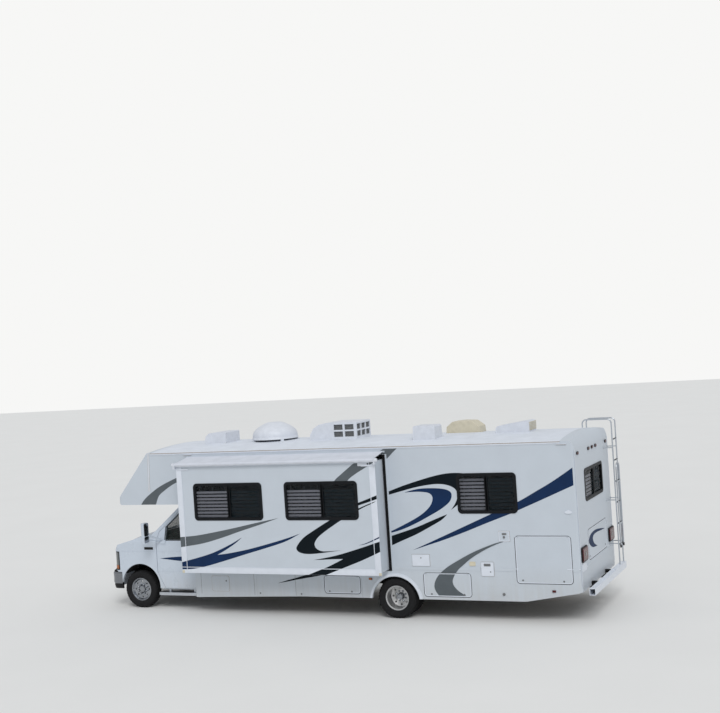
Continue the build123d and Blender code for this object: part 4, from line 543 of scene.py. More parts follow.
SLIDE_STRIPES = {
    "slide_gray_swoosh": (GRAY_STRIPE, (
        [(1.436, 1.512), (1.797, 1.544), (2.185, 1.606), (2.595, 1.681), (3.0, 1.762), (3.266, 1.813)],
        [(3.524, 1.86), (3.129, 1.739), (2.724, 1.623), (2.312, 1.498), (1.895, 1.393)],
        [(1.436, 1.325)],
    )),
    "slide_navy_swoosh": (NAVY, (
        [(1.436, 1.045), (1.764, 1.124), (2.072, 1.209), (2.324, 1.305), (2.547, 1.405)],
        [(2.75, 1.511), (2.6, 1.4), (2.432, 1.301), (2.305, 1.234)],
        [(2.207, 1.187), (2.425, 1.212), (2.831, 1.285), (3.233, 1.38), (3.632, 1.485)],
        [(3.937, 1.578), (3.627, 1.435), (3.229, 1.317), (2.825, 1.208), (2.416, 1.094), (2.0, 0.984),
         (1.694, 0.925)],
        [(1.436, 0.909)],
    )),
    "slide_crescent": (BLACK_STRIPE, (
        [(4.694, 1.891), (4.553, 1.823), (4.381, 1.73), (4.193, 1.624), (4.018, 1.518), (3.898, 1.404),
         (3.846, 1.316), (3.887, 1.253), (3.982, 1.223), (4.094, 1.216), (4.233, 1.224), (4.4, 1.242),
         (4.567, 1.264)],
        [(4.739, 1.287), (4.622, 1.277), (4.457, 1.266), (4.347, 1.269), (4.266, 1.3), (4.222, 1.349),
         (4.22, 1.418), (4.296, 1.518), (4.442, 1.624), (4.614, 1.73), (4.771, 1.822)],
        [(4.898, 1.89)],
    )),
    "slide_lower_swoosh": (BLACK_STRIPE, (
        [(4.176, 1.111), (4.323, 1.134), (4.505, 1.168), (4.7, 1.212), (4.921, 1.273), (5.168, 1.346),
         (5.332, 1.398)],
        [(5.476, 1.443)],
        [(5.476, 1.264), (5.318, 1.195), (5.111, 1.108), (4.903, 1.03), (4.694, 0.952), (4.54, 0.897)],
        [(4.399, 0.844)],
        [(4.055, 0.844), (4.252, 0.919), (4.437, 0.986), (4.635, 1.075)],
        [(4.755, 1.133), (4.571, 1.128), (4.364, 1.117)],
    )),
    "slide_thin_line": (NAVY, (
        [(5.07, 1.375), (5.2, 1.41), (5.337, 1.465)],
        [(5.476, 1.527)],
        [(5.476, 1.503), (5.336, 1.445), (5.199, 1.396)],
    )),
    "slide_upper_band": (BLACK_STRIPE, (
        [(4.96, 2.07), (5.124, 2.125), (5.295, 2.184)],
        [(5.476, 2.249)],
        [(5.476, 2.183), (5.291, 2.127), (5.12, 2.076)],
        [(4.96, 2.028)],
    )),
    "slide_upper_line": (BLACK_STRIPE, (
        [(4.96, 1.955), (5.124, 2.026), (5.248, 2.075), (5.385, 2.124)],
        [(5.459, 2.148), (5.383, 2.108), (5.246, 2.054), (5.121, 1.997)],
        [(4.96, 1.92)],
    )),
    "slide_top_band": (GRAY_STRIPE, (
        [(4.58, 2.39), (4.704, 2.535), (4.841, 2.641), (4.977, 2.742)],
        [(5.15, 2.864)],
        [(5.476, 2.864)],
        [(5.476, 2.832), (5.288, 2.73), (5.117, 2.638), (4.962, 2.535)],
        [(4.84, 2.39)],
    )),
}
WALL_STRIPES = {
    "wall_top_band": (GRAY_STRIPE, (
        [(5.3, 2.925)],
        [(5.476, 3.012)],
        [(5.735, 3.012), (5.652, 2.945), (5.537, 2.84)],
        [(5.4, 2.745)],
    )),
    "wall_black_crescent": (BLACK_STRIPE, (
        [(5.505, 2.251), (5.793, 2.351), (6.116, 2.445), (6.435, 2.525), (6.696, 2.561), (6.95, 2.547),
         (7.071, 2.453), (7.088, 2.332), (7.029, 2.213), (6.92, 2.105), (6.812, 2.021)],
        [(6.672, 1.923), (6.74, 2.01), (6.792, 2.106), (6.809, 2.203), (6.767, 2.289), (6.655, 2.348),
         (6.502, 2.375), (6.32, 2.368), (6.056, 2.328), (5.787, 2.265)],
        [(5.505, 2.194)],
    )),
    "wall_blue_crescent": (NAVY, (
        [(5.824, 2.235), (5.973, 2.275), (6.159, 2.302), (6.42, 2.303), (6.599, 2.279), (6.686, 2.229),
         (6.698, 2.156), (6.648, 2.059), (6.498, 1.946), (6.283, 1.83), (6.011, 1.696), (5.739, 1.586)],
        [(5.495, 1.519)],
        [(5.495, 1.541), (5.743, 1.652), (6.018, 1.787), (6.182, 1.892), (6.295, 2.001), (6.344, 2.111),
         (6.328, 2.185), (6.258, 2.229), (6.102, 2.246), (5.944, 2.243)],
    )),
    "wall_black_streak": (BLACK_STRIPE, (
        [(5.485, 1.458), (5.735, 1.536), (6.006, 1.622), (6.275, 1.727), (6.489, 1.81)],
        [(6.6, 1.848), (6.485, 1.751), (6.269, 1.634), (5.997, 1.499), (5.725, 1.388)],
        [(5.485, 1.287)],
    )),
    "wall_blue_streak": (NAVY, (
        [(5.912, 1.221), (6.196, 1.34), (6.517, 1.476), (6.914, 1.646), (7.304, 1.813), (7.561, 1.925),
         (7.904, 2.067), (8.194, 2.222), (8.445, 2.359), (8.669, 2.496)],
        [(8.849, 2.613)],
        [(8.849, 2.319), (8.553, 2.194), (8.182, 2.038), (7.876, 1.912), (7.704, 1.842), (7.296, 1.693),
         (6.906, 1.545), (6.513, 1.407), (6.194, 1.308)],
    )),
    "wall_gray_swoosh": (GRAY_STRIPE, (
        [(7.624, 1.394), (7.422, 1.345), (7.217, 1.272), (6.983, 1.174), (6.745, 1.051), (6.531, 0.927),
         (6.38, 0.803), (6.3, 0.692), (6.274, 0.593), (6.295, 0.508)],
        [(6.347, 0.435)],
        [(6.852, 0.435), (6.721, 0.516), (6.642, 0.6), (6.617, 0.685), (6.655, 0.783), (6.734, 0.886),
         (6.856, 0.992), (7.003, 1.102), (7.214, 1.224), (7.421, 1.321)],
    )),
    "skirt_tip": (BLACK_STRIPE, (
        [(3.193, 0.593), (3.415, 0.656), (3.562, 0.692), (3.708, 0.734)],
        [(4.04, 0.815)],
        [(4.2, 0.775), (3.992, 0.733), (3.766, 0.695), (3.58, 0.663), (3.413, 0.63)],
    )),
}
OVERCAB_STRIPE = (
    [(0.325, 2.068), (0.399, 2.159), (0.539, 2.269), (0.752, 2.401), (0.991, 2.508), (1.212, 2.59)],
    [(1.43, 2.655)],
    [(1.43, 2.585), (1.205, 2.505), (1.043, 2.434), (0.862, 2.326), (0.739, 2.229)],
    [(0.661, 2.068)],
)
DOOR_STRIPE = (
    [(0.506, 0.981), (0.713, 1.003), (0.888, 1.015), (1.1, 1.025)],
    [(1.4, 1.035)],
    [(1.4, 0.9), (1.1, 0.928), (0.882, 0.943), (0.709, 0.961)],
)
HATCH_CRESCENT = (
    [(0.625, 1.307), (0.177, 1.371), (-0.2, 1.397), (-0.496, 1.365), (-0.616, 1.286), (-0.542, 1.202),
     (-0.338, 1.132)],
    [(-0.028, 1.106), (-0.225, 1.175), (-0.326, 1.265), (-0.258, 1.326), (-0.026, 1.339), (0.295, 1.322)],
)

# Turned forms: (distance along the axis, radius)

STAND_OFF = [(0.0, 0.028), (0.004, 0.028), (0.008, 0.014), (0.012, 0.012)]
FOOT = [(0.0, 0.013), (0.004, 0.016), (0.05, 0.016), (0.054, 0.013)]
MARKER = [(0.0, 0.034), (0.004, 0.034), (0.012, 0.028), (0.018, 0.014), (0.0195, 0.002)]
ROLLER_CAP = [(-0.030, 0.034), (0.0, 0.034), (0.006, 0.030), (0.009, 0.016), (0.009, 0.002)]
DRAIN = [(0.0, 0.026), (0.006, 0.026), (0.010, 0.016), (0.022, 0.014), (0.024, 0.003)]
TAP = [(0.0, 0.020), (0.010, 0.020), (0.016, 0.013), (0.020, 0.012), (0.021, 0.002)]
CLIP = [(0.0, 0.010), (0.008, 0.010), (0.010, 0.007), (0.0105, 0.001)]
PIVOT = [(0.0, 0.014), (0.030, 0.014), (0.036, 0.008), (0.037, 0.001)]


def hole_of(window):
    """Outline of a window's frame, a little smaller, to cut a stripe with."""
    return inset(window[:4], 0.006, 0.070)


def bay_outline(name, margin):
    """Outline of a compartment's opening, drawn in by a margin."""
    return inset(DOORS[name][1], margin, BAY_CORNER - margin)


def slide_stripes():
    """Stripes on the slide-out room's face, proud of its edge trims where they cross."""
    field = rectangle(SLIDE_LOW_X + TRIM_WIDTH, SLIDE_HIGH_X - TRIM_WIDTH, SLIDE_LOW_Z + TRIM_WIDTH,
                      SLIDE_HIGH_Z)
    whole = rectangle(SLIDE_LOW_X + 0.001, SLIDE_HIGH_X - 0.001, SLIDE_LOW_Z + 0.002, SLIDE_HIGH_Z - 0.002)
    holes = [hole_of(window) for window in SLIDE_WINDOWS]
    for name, (material, runs) in SLIDE_STRIPES.items():
        stripe(name, runs, slide_side, material, "slide_room", without=holes, within=field)
        stripe(name + "_on_trim", runs, slide_side, material, "slide_room", out=TRIM_THICKNESS,
               without=[field] + holes, within=whole)


def bay_stripe(name, place, body):
    """The gray swoosh's part on a compartment door."""
    stripe(name, WALL_STRIPES["wall_gray_swoosh"][1], place, GRAY_STRIPE, body,
           within=bay_outline(body, DOOR_GAP + 0.001))


def wall_stripes():
    """Stripes on the driver's side wall and its compartment door, and on both sides of the cab."""
    holes = [hole_of(LEFT_WINDOW), rectangle(*OPENING_TRIM)]
    doors = [bay_outline(name, 0.0) for name, row in DOORS.items() if row[0] is left_side]
    for name, (material, runs) in WALL_STRIPES.items():
        cuts = doors if name in ("skirt_tip", "wall_gray_swoosh") else holes
        out = PLATE if name == "wall_gray_swoosh" else 0.0
        stripe(name, runs, left_side, material, "body", out=out, without=cuts)
    bay_stripe("door_gray_swoosh", left_side, "bay_door_middle")
    for (side, tag), place in zip(SIDES, WALLS):
        stripe(f"overcab_stripe_{tag}", OVERCAB_STRIPE, place, GRAY_STRIPE, "body")
        stripe(f"cab_door_stripe_{tag}", DOOR_STRIPE, cab_side(side), NAVY, f"{tag}_cab_door")


def passenger_stripes():
    """The same stripes on the passenger's side, where there is no slide-out room."""
    doorway = rectangle(4.274, 4.926, 0.634, 2.626)
    entry = rectangle(4.288, 4.912, 0.648, 2.612)
    panel = rectangle(1.462, 8.849, 0.37, 3.01)
    left_only = ("slide_top_band", "wall_top_band", "skirt_tip", "slide_thin_line", "slide_upper_line")
    over_plates = ("wall_gray_swoosh", "slide_navy_swoosh", "slide_lower_swoosh")
    holes = [hole_of(window) for window in RIGHT_WINDOWS] + [doorway, bay_outline("bay_door_right", 0.0)]
    for name, (material, runs) in {**SLIDE_STRIPES, **WALL_STRIPES}.items():
        if name in left_only:
            continue
        out = PLATE if name in over_plates else 0.0
        stripe(f"passenger_{name}", runs, right_side, material, "body", out=out, without=holes, within=panel)
        stripe(f"passenger_door_{name}", runs, right_side, material, "entry_door", within=entry)
    bay_stripe("passenger_bay_swoosh", right_side, "bay_door_right")


# Slide-out room

def slide_trim():
    """Edge trims of the slide-out room's face with their plastic corners."""
    x0, x1, z0, z1 = SLIDE_LOW_X, SLIDE_HIGH_X, SLIDE_LOW_Z, SLIDE_HIGH_Z
    front, rear, low = x0 + TRIM_WIDTH, x1 - TRIM_WIDTH, z0 + TRIM_WIDTH
    lip, cap = 0.012, 0.05
    face, ledge, corner = ((-SLIDE_FACE - TRIM_THICKNESS - more, -SLIDE_FACE) for more in (0, 0.004, 0.003))
    piece = Piece()
    for x, z in (((x0, front), (z0, z1)), ((rear, x1), (z0, z1)), ((front, rear), (z0, low)),
                 ((front, rear), (z1 - 0.05, z1))):
        piece.box(x, face, z, 0.002)
    for x, z in (((x0, x1), (low - lip, low)), ((front - lip, front), (z0, z1)),
                 ((rear, rear + lip), (z0, z1))):
        piece.box(x, ledge, z, 0.003)
    piece.done("slide_trim", TRIM_WHITE, "slide_room", slot="shell_white")
    piece = Piece()
    for x in ((x0, x0 + cap), (x1 - cap, x1)):
        piece.box(x, corner, (z0, z0 + cap), 0.003)
    piece.done("slide_corner_caps", CREAM, "slide_room")


def slide_seals():
    """Rubber bulb seal round the slide-out room's opening, widened at the rear and the top, where its black
    also stands for painted shadow in the gap.
    """
    x0, x1, z0, z1 = OPENING
    piece = Piece()
    # The seal reaches 45 mm past the opening at the rear and 30 mm at the top: real seal, and painted shadow
    # of the gap beside the slide-out room
    outer = rounded(x0 - 0.01, x1 + 0.045, z0 - 0.012, z1 + 0.03, 0.012, 3)
    inner = rounded(x0 + 0.004, x1 - 0.004, z0 + 0.006, z1 - 0.004, 0.008, 3)
    piece.ring(outer, inner, left_side, -0.03, 0.0125)
    piece.done("opening_seal_and_shadow_gap", SEAL, "body")


def slats(name, material, place, low, high, bottom, top, inward, body):
    """Half of a blind: its slats, cords and rails, and a dark sheet behind it that paints the shade of the
    room inside.
    """
    pitch, thick, back = 0.062, 0.0015, 0.0012
    piece = Piece()
    for n in range(int((top - bottom - 0.06) / pitch)):
        v = bottom + 0.045 + n * pitch
        rings = []
        for w, rise in ((0.0, -0.018), (0.004, -0.007), (0.007, 0.006), (0.008, 0.019)):
            rings.append([place(u, v + rise - down, -inward - w - behind) for u, down, behind in (
                (low, 0, 0), (high, 0, 0), (high, thick, back), (low, thick, back))])
        piece.hull(rings)
    for u in (low + 0.08, (low + high) / 2, high - 0.08):
        piece.tube([place(u, v, -inward - 0.006) for v in (bottom, top)], 0.0012, 6)
    piece.slab(rectangle(low, high, bottom, bottom + 0.018), place, -inward - 0.016, -inward)
    piece.slab(rectangle(low, high, top - 0.025, top), place, -inward - 0.026, -inward)
    piece.done(name, material, body)
    # Dark sheet behind the slats: painted shade of the unlit room, which shows as dark lines between the
    # slats
    dark = Piece()
    left, right, floor = low - 0.02, high + 0.02, bottom + 0.1
    dark.slab(rectangle(left, right, bottom - 0.02, top + 0.02), place, -inward - 0.034, -inward - 0.030)
    dark.slab(rectangle(left, right, floor, floor + 0.004), place, -inward - 0.030, -inward - 0.028)
    dark.done(f"{name}_painted_shade_sheet", INSIDE_SHADE, body)


def blinds():
    """Each window's sashes and its blind: pale on the left half, screened on the right."""
    edge, middle = 0.035, 0.012
    rows = [(f"slide_blind_{n}", window, slide_side, 0.040, "slide_room")
            for n, window in enumerate(SLIDE_WINDOWS)]
    rows += [("wall_blind", LEFT_WINDOW, left_side, 0.050, "body")]
    rows += [(f"passenger_blind_{n}", window, right_side, 0.050, "body")
             for n, window in enumerate(RIGHT_WINDOWS)]
    rows += [("rear_blind", REAR_WINDOW, rear_side, 0.045, "body")]
    for name, (x0, x1, z0, z1, bar), place, inward, body in rows:
        sash = Piece()
        for u0, u1 in ((x0 + middle, bar + middle), (bar - middle, x1 - middle)):
            sash.ring(rounded(u0, u1, z0 + 0.012, z1 - 0.012, 0.055),
                      rounded(u0 + 0.042, u1 - 0.042, z0 + 0.056, z1 - 0.056, 0.035), place, -0.002, 0.004)
        sash.done(f"{name}_sash", FRAME_BLACK, body)
        for half, material, low, high in (("open", BLIND, x0 + edge, bar - middle),
                                          ("screened", DARK_BLIND, bar + middle, x1 - edge)):
            slats(f"{name}_{half}", material, place, low, high, z0 + edge, z1 - edge, inward, body)


# Wheels: name, X, side, reach of the hub, places of the tyres, body

WHEELS = (
    ("front_left", 0.0, LEFT, 0.881, (0.881,), "front_left_wheel"),
    ("front_right", 0.0, RIGHT, 0.881, (0.881,), "front_right_wheel"),
    ("rear_left", WHEELBASE, LEFT, 0.990, (0.859, 1.121), "rear_left_wheels"),
    ("rear_right", WHEELBASE, RIGHT, 0.990, (0.859, 1.121), "rear_right_wheels"),
)

# Half of a tyre's section: distance from its middle, radius and kind

TYRE = (
    (-0.074, 0.2225, "bead"), (-0.088, 0.226, "bead"), (-0.099, 0.243, "wall"), (-0.1015, 0.246, "wall"),
    (-0.1045, 0.262, "wall"), (-0.1085, 0.266, "wall"), (-0.1110, 0.285, "wall"), (-0.1105, 0.305, "wall"),
    (-0.1075, 0.325, "wall"), (-0.1030, 0.338, "wall"), (-0.096, 0.347, "block"), (-0.080, 0.3585, "block"),
    (-0.061, 0.3600, "block"), (-0.060, 0.351, "groove"), (-0.052, 0.351, "groove"), (-0.051, 0.3600, "rib"),
    (-0.021, 0.3600, "rib"), (-0.020, 0.351, "groove"), (-0.012, 0.351, "groove"), (-0.011, 0.3600, "rib"),
)

# Front and rear wheels: distance of the nuts from the hub, and the sections
# of nut, hub cap and rim's edge

FRONT_TRIM = (
    0.037,
    [(-0.01, 0.021), (0.012, 0.021), (0.020, 0.0185), (0.030, 0.017), (0.037, 0.011), (0.040, 0.002)],
    [(0.024, 0.070), (0.030, 0.071), (0.035, 0.064), (0.060, 0.052), (0.072, 0.043), (0.0775, 0.030),
     (0.0785, 0.002)],
    [(0.060, 0.214), (0.081, 0.216), (0.083, 0.221), (0.079, 0.2235), (0.062, 0.2225)],
)
REAR_TRIM = (
    0.016,
    [(-0.01, 0.022), (0.004, 0.022), (0.005, 0.0155), (0.024, 0.0155), (0.028, 0.010), (0.034, 0.009),
     (0.035, 0.002)],
    [(0.030, 0.066), (0.100, 0.056), (0.112, 0.052), (0.1185, 0.040), (0.1235, 0.028), (0.1245, 0.002)],
    [(0.190, 0.214), (0.212, 0.216), (0.2145, 0.221), (0.211, 0.2235), (0.192, 0.2225)],
)


def tyre(piece, centre, side):
    """One tyre with its tread grooves, shoulder blocks and sidewall ribs."""
    section = [*TYRE, *((-y, radius, kind) for y, radius, kind in reversed(TYRE))]
    rings = []
    for n, angle in enumerate(full_turn(160)):
        ring = []
        for y, radius, kind in section:
            if kind == "block" and n % 4 == 0:
                radius -= 0.007
            if kind == "rib" and n % 8 == (0 if y < 0 else 4):
                radius -= 0.003
            ring.append(centre + Vector((radius * cos(angle), side * y, radius * sin(angle))))
        rings.append(ring)
    piece.hull(rings, loop=True)


def tyres():
    """Tyres with tread, in place of the plain ones."""
    for name, x, side, _, places, body in WHEELS:
        piece = Piece()
        for y in places:
            tyre(piece, at(x, side * y, HUB_Z), side)
        made = piece.done(f"{name}_treaded_tyre", RUBBER, body, soften=30)
        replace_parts(made, f"{name}_tyre")


def wheel_trims():
    """Nuts, hub caps and rims' edges of the four visible wheels."""
    nuts, circle = 8, 0.0925
    for name, x, side, reach, _, body in WHEELS:
        rise, nut, cap, rim = REAR_TRIM if x else FRONT_TRIM
        axis = (0, side, 0)
        piece = Piece()
        for a in arc(22.5, 360, nuts)[:-1]:
            spot = at(x + circle * cos(a), side * (reach + rise), HUB_Z + circle * sin(a))
            piece.lathe(spot, axis, nut, 12)
        piece.lathe(at(x, side * reach, HUB_Z), axis, cap)
        piece.hoop(lambda u, v, w: at(x + u, side * (reach + w), HUB_Z + v), rim, 96)
        piece.done(f"{name}_wheel_trim", CHROME, body)


# Rear

RUNGS = (0.95, 1.332, 1.714, 2.096, 2.478, 2.86)


def ladder_rails():
    """Round ladder with its folding half, rubber treads and feet, and stand-offs."""
    x, y0, y1 = 9.06, 0.905, 1.215
    rail, rung, bend, fold = 0.0125, 0.0115, 0.075, 0.09
    shoulder_x, shoulder_z = 8.605, 3.165
    piece = Piece()
    for y in (y0, y1):
        line = [(x, y, z) for z in (0.602, 1.2, 2.2, 3.10)]
        line += [(x - bend * (1 - cos(a)), y, shoulder_z + bend * sin(a)) for a in arc(0, 90, 6)]
        line += [(shoulder_x - bend * sin(a), y, shoulder_z + bend * cos(a)) for a in arc(0, 90, 6)]
        line += [(8.53, y, roof_height(y) + 0.004)]
        piece.tube([at(*p) for p in line], rail, 18)
        for z in (0.98, 1.77, 2.72):
            piece.tube([at(HOUSE_REAR + 0.001, y, z), at(x, y, z)], 0.009, 12)
            piece.lathe(at(HOUSE_REAR, y, z), (1, 0, 0), STAND_OFF, 20)
    for z in RUNGS:
        piece.tube([at(x, y0 - 0.006, z), at(x, y1 + 0.006, z)], rung)
    fold_x, f0, f1, fold_z = 9.090, y0 + 0.035, y1 - 0.035, 2.34
    middle = (f0 + f1) / 2
    line = [(fold_x, f0, 0.93), (fold_x, f0, fold_z)]
    line += [(fold_x, f0 + fold * (1 - cos(a)), fold_z + fold * sin(a)) for a in arc(15, 75, 5)]
    line += [(fold_x, f1 - fold * (1 - cos(a)), fold_z + fold * sin(a)) for a in arc(90, -90, 6)]
    line += [(fold_x, f1, 0.93)]
    piece.tube([at(*p) for p in line], rail, 18)
    for z in RUNGS[1:4:2]:
        piece.tube([at(fold_x, f0, z), at(fold_x, f1, z)], rung)
        piece.box((x, fold_x), (middle - 0.006, middle + 0.006), (z - 0.004, z + 0.004), 0.001)
    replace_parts(piece.done("round_ladder", ALUMINIUM, "body"), "ladder")
    piece = Piece()
    for z in RUNGS:
        piece.box((x - 0.014, x + 0.014), (y0 + 0.016, y1 - 0.016), (z + 0.004, z + 0.014), 0.003)
    for y in (f0, f1):
        piece.lathe(at(fold_x, y, 0.90), (0, 0, 1), FOOT, 18)
    piece.done("ladder_treads", BLACK, "body")


def lamp_lenses():
    """Lenses with their bezels over the plain lamp blocks."""
    red, white, bezel, amber = Piece(), Piece(), Piece(), Piece()
    for side in (LEFT, RIGHT):
        y0, y1 = sorted((side * 0.85, side * 1.20))
        tail = (y0, y1, 1.03, 1.25)
        red.slab(inset(tail, 0.004, 0.012), rear_side, 0.022, 0.034)
        red.slab(inset(tail, 0.016, 0.010), rear_side, 0.034, 0.039)
        white.slab(around((y0 + y1) / 2, 1.14, 0.034, 0.034, 0.008), rear_side, 0.036, 0.042)
        bezel.ring(inset(tail, -0.012, 0.02), inset(tail, 0.0, 0.01), rear_side, 0.0, 0.026)
    for y in (-1.05, -0.262, 0.0, 0.262, 1.05):
        red.slab(around(y, 2.83, 0.046, 0.015, 0.014), rear_side, 0.014, 0.022)
        bezel.ring(around(y, 2.83, 0.058, 0.026, 0.02), around(y, 2.83, 0.05, 0.018, 0.014), rear_side,
                   0.0, 0.014)
    for place in WALLS:
        red.slab(rounded(8.382, 8.434, 0.532, 0.562, 0.012), place, 0.014, 0.020)
        amber.slab(rounded(5.045, 5.099, 0.690, 0.722, 0.012), place, 0.0, 0.020)
    red.done("red_lenses", RED, "body")
    white.done("reversing_lenses", LAMP_CLEAR, "body")
    bezel.done("lamp_bezels", BLACK, "body")
    slope = Vector((-CAP_RISE, 0, CAP_RUN)).normalized()
    for y in (-1.0, -0.262, 0.0, 0.262, 1.0):
        z = 2.90
        spot = at(CAP_LOW_X + (z - CAP_LOW_Z) * CAP_RUN / CAP_RISE, y, z)
        amber.lathe(spot + slope * 0.014, slope, MARKER, 24)
    amber.done("amber_lenses", AMBER, "body")


# Fabric over the slide-out room

RAIL_Y, RAIL_Z = HOUSE_HALF + 0.015, 2.9695
ROLLER_Y, ROLLER_Z = SLIDE_FACE + 0.036, SLIDE_WALL_TOP + 0.032
ROLLER_RADIUS = 0.033
FABRIC_THICKNESS = 0.0012


def topper():
    """The awning's fabric, from its rail on the wall and over the roller."""
    spans, turns, columns = 24, 8, 80
    wrap = ROLLER_RADIUS + 0.002
    line = []
    for n in range(spans + 1):
        t = n / spans
        sag = 0.010 * sin(pi * t)
        line.append((RAIL_Y + (ROLLER_Y - RAIL_Y) * t, RAIL_Z + (ROLLER_Z + wrap - RAIL_Z) * t - sag))
    line += [(ROLLER_Y + wrap * sin(a), ROLLER_Z + wrap * cos(a)) for a in arc(0, 90, turns)[1:]]
    length = sum(sqrt((b[0] - a[0]) ** 2 + (b[1] - a[1]) ** 2) for a, b in zip(line, line[1:]))
    x0, x1 = SLIDE_LOW_X + 0.006, SLIDE_HIGH_X - 0.006
    rings = []
    for n in range(columns + 1):
        t = n / columns
        x = x0 + (x1 - x0) * t
        ripple = 0.0016 * sin(23 * t) + 0.0012 * sin(57 * t + 1)
        top = [at(x, -y, z + ripple * sin(pi * min(1, i / spans))) for i, (y, z) in enumerate(line)]
        rings.append(top + [p - Vector((0, 0, FABRIC_THICKNESS)) for p in reversed(top)])
    piece = Piece()
    piece.hull(rings)
    made = piece.done("topper_sheet", FABRIC, slot="cream_fabric", soften=70)
    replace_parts(made, "topper_fabric")
    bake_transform(made)


def topper_hardware():
    """End caps and brackets of the slide-out room's awning."""
    caps, arms = Piece(), Piece()
    for x, out in ((SLIDE_LOW_X - 0.054, -1), (SLIDE_HIGH_X + 0.054, 1)):
        caps.lathe(at(x, -ROLLER_Y, ROLLER_Z), (out, 0, 0), ROLLER_CAP, 28)
    face, plate = -SLIDE_FACE, -SLIDE_FACE - 0.012
    for x in (SLIDE_LOW_X + 0.02, SLIDE_HIGH_X - 0.26):
        arms.box((x, x + 0.24), (plate, face), (SLIDE_WALL_TOP - 0.075, SLIDE_WALL_TOP - 0.045), 0.003)
        arms.box((x + 0.01, x + 0.23), (plate - 0.004, plate),
                 (SLIDE_WALL_TOP - 0.066, SLIDE_WALL_TOP - 0.054), 0.001)
    caps.done("roller_caps", COVER_WHITE, "slide_room")
    arms.done("topper_brackets", TRIM_WHITE, "slide_room")


# House details

def gutters():
    """Roof edge mouldings with their sealant and rain spouts."""
    rail, seal = Piece(), Piece()

    def slanted(low, high):
        """Strip that leans with the front cap's rear edge."""
        return [(high + 0.03, 3.05), (high, 2.32), (low, 2.32), (low + 0.03, 3.05)]

    for place in WALLS:
        rail.slab(rectangle(0.60, 8.66, 3.022, 3.040), place, 0.0, 0.011)
        rail.slab(rectangle(0.60, 8.66, 3.014, 3.022), place, 0.0, 0.004)
        seal.slab(rectangle(0.60, 8.66, 3.041, 3.052), place, 0.0, 0.0022)
        rail.slab(slanted(0.516, 0.540), place, 0.0, 0.003)
        seal.slab(slanted(0.510, 0.516), place, 0.0, 0.0014)
        seal.slab(slanted(0.540, 0.545), place, 0.0, 0.0014)
        for x in (1.36, 8.60):
            rail.slab(rectangle(x, x + 0.17, 3.004, 3.014), place, 0.0, 0.020)
            seal.slab(rectangle(x, x + 0.17, 3.0, 3.004), place, 0.0, 0.018)
    rail.done("gutter_rails", TRIM_WHITE, "body")
    seal.done("gutter_sealant", AGED, "body", slot="white_plastic")


def arch_flares():
    """Raised lips of the rear wheel arches."""
    section = ((0.458, 0.0), (0.457, 0.010), (0.464, 0.014), (0.498, 0.013), (0.512, 0.006), (0.514, 0.0))
    middle_z = 0.300
    piece = Piece()
    for place in WALLS:
        piece.hull([[place(WHEELBASE + r * cos(a), middle_z + r * sin(a), w) for r, w in section]
                    for a in arc(8, 164, 40)])
    piece.done("arch_flares", TRIM_WHITE, "body", slot="shell_white")


def lock(piece, u, v, place, out=0.0):
    """One thumb lock with its slot."""
    piece.slab(oval(u, v, 0.016, 0.016, 20), place, out, out + 0.0022)
    piece.slab(oval(u, v, 0.011, 0.011, 20), place, out + 0.0022, out + 0.0040)
    piece.slab(rectangle(u - 0.002, u + 0.002, v - 0.007, v + 0.007), place, out + 0.0040, out + 0.0050)


def latches():
    """Thumb locks of the compartment doors and of the skirt's panels."""
    for body, (place, _, spots) in DOORS.items():
        piece = Piece()
        for u, v in spots:
            lock(piece, u, v, place)
        piece.done(f"{body}_locks", GRAY, body)
    piece = Piece()
    for u, v, out in ((3.673, 0.405, 0.0), (2.822, 0.403, 0.0), (2.11, 0.62, 0.004), (6.06, 1.09, HATCH),
                      (7.32, 0.86, HATCH)):
        lock(piece, u, v, left_side, out)
    piece.done("panel_locks", GRAY, "body")


def door_beads():
    """Soft bead on each compartment door, and the seal in the gap round it."""
    edge = DOOR_GAP + 0.0015
    seals = Piece()
    for body, (place, bounds, _) in DOORS.items():
        outer, rim, inner = (inset(bounds, edge + more, BAY_CORNER - edge - more)
                             for more in (0, 0.004, 0.0125))
        piece = Piece()
        piece.ring(outer, inner, place, -0.001, 0.0018)
        piece.ring(outer, rim, place, 0.0018, 0.0030)
        piece.done(f"{body}_bead", TRIM_WHITE, body, slot="shell_white")
        seals.ring(inset(bounds, -0.004, BAY_CORNER + 0.004), inset(bounds, 0.0005, BAY_CORNER), place,
                   -0.006, 0.0015)
    seals.done("door_seals", SEAL, "body")


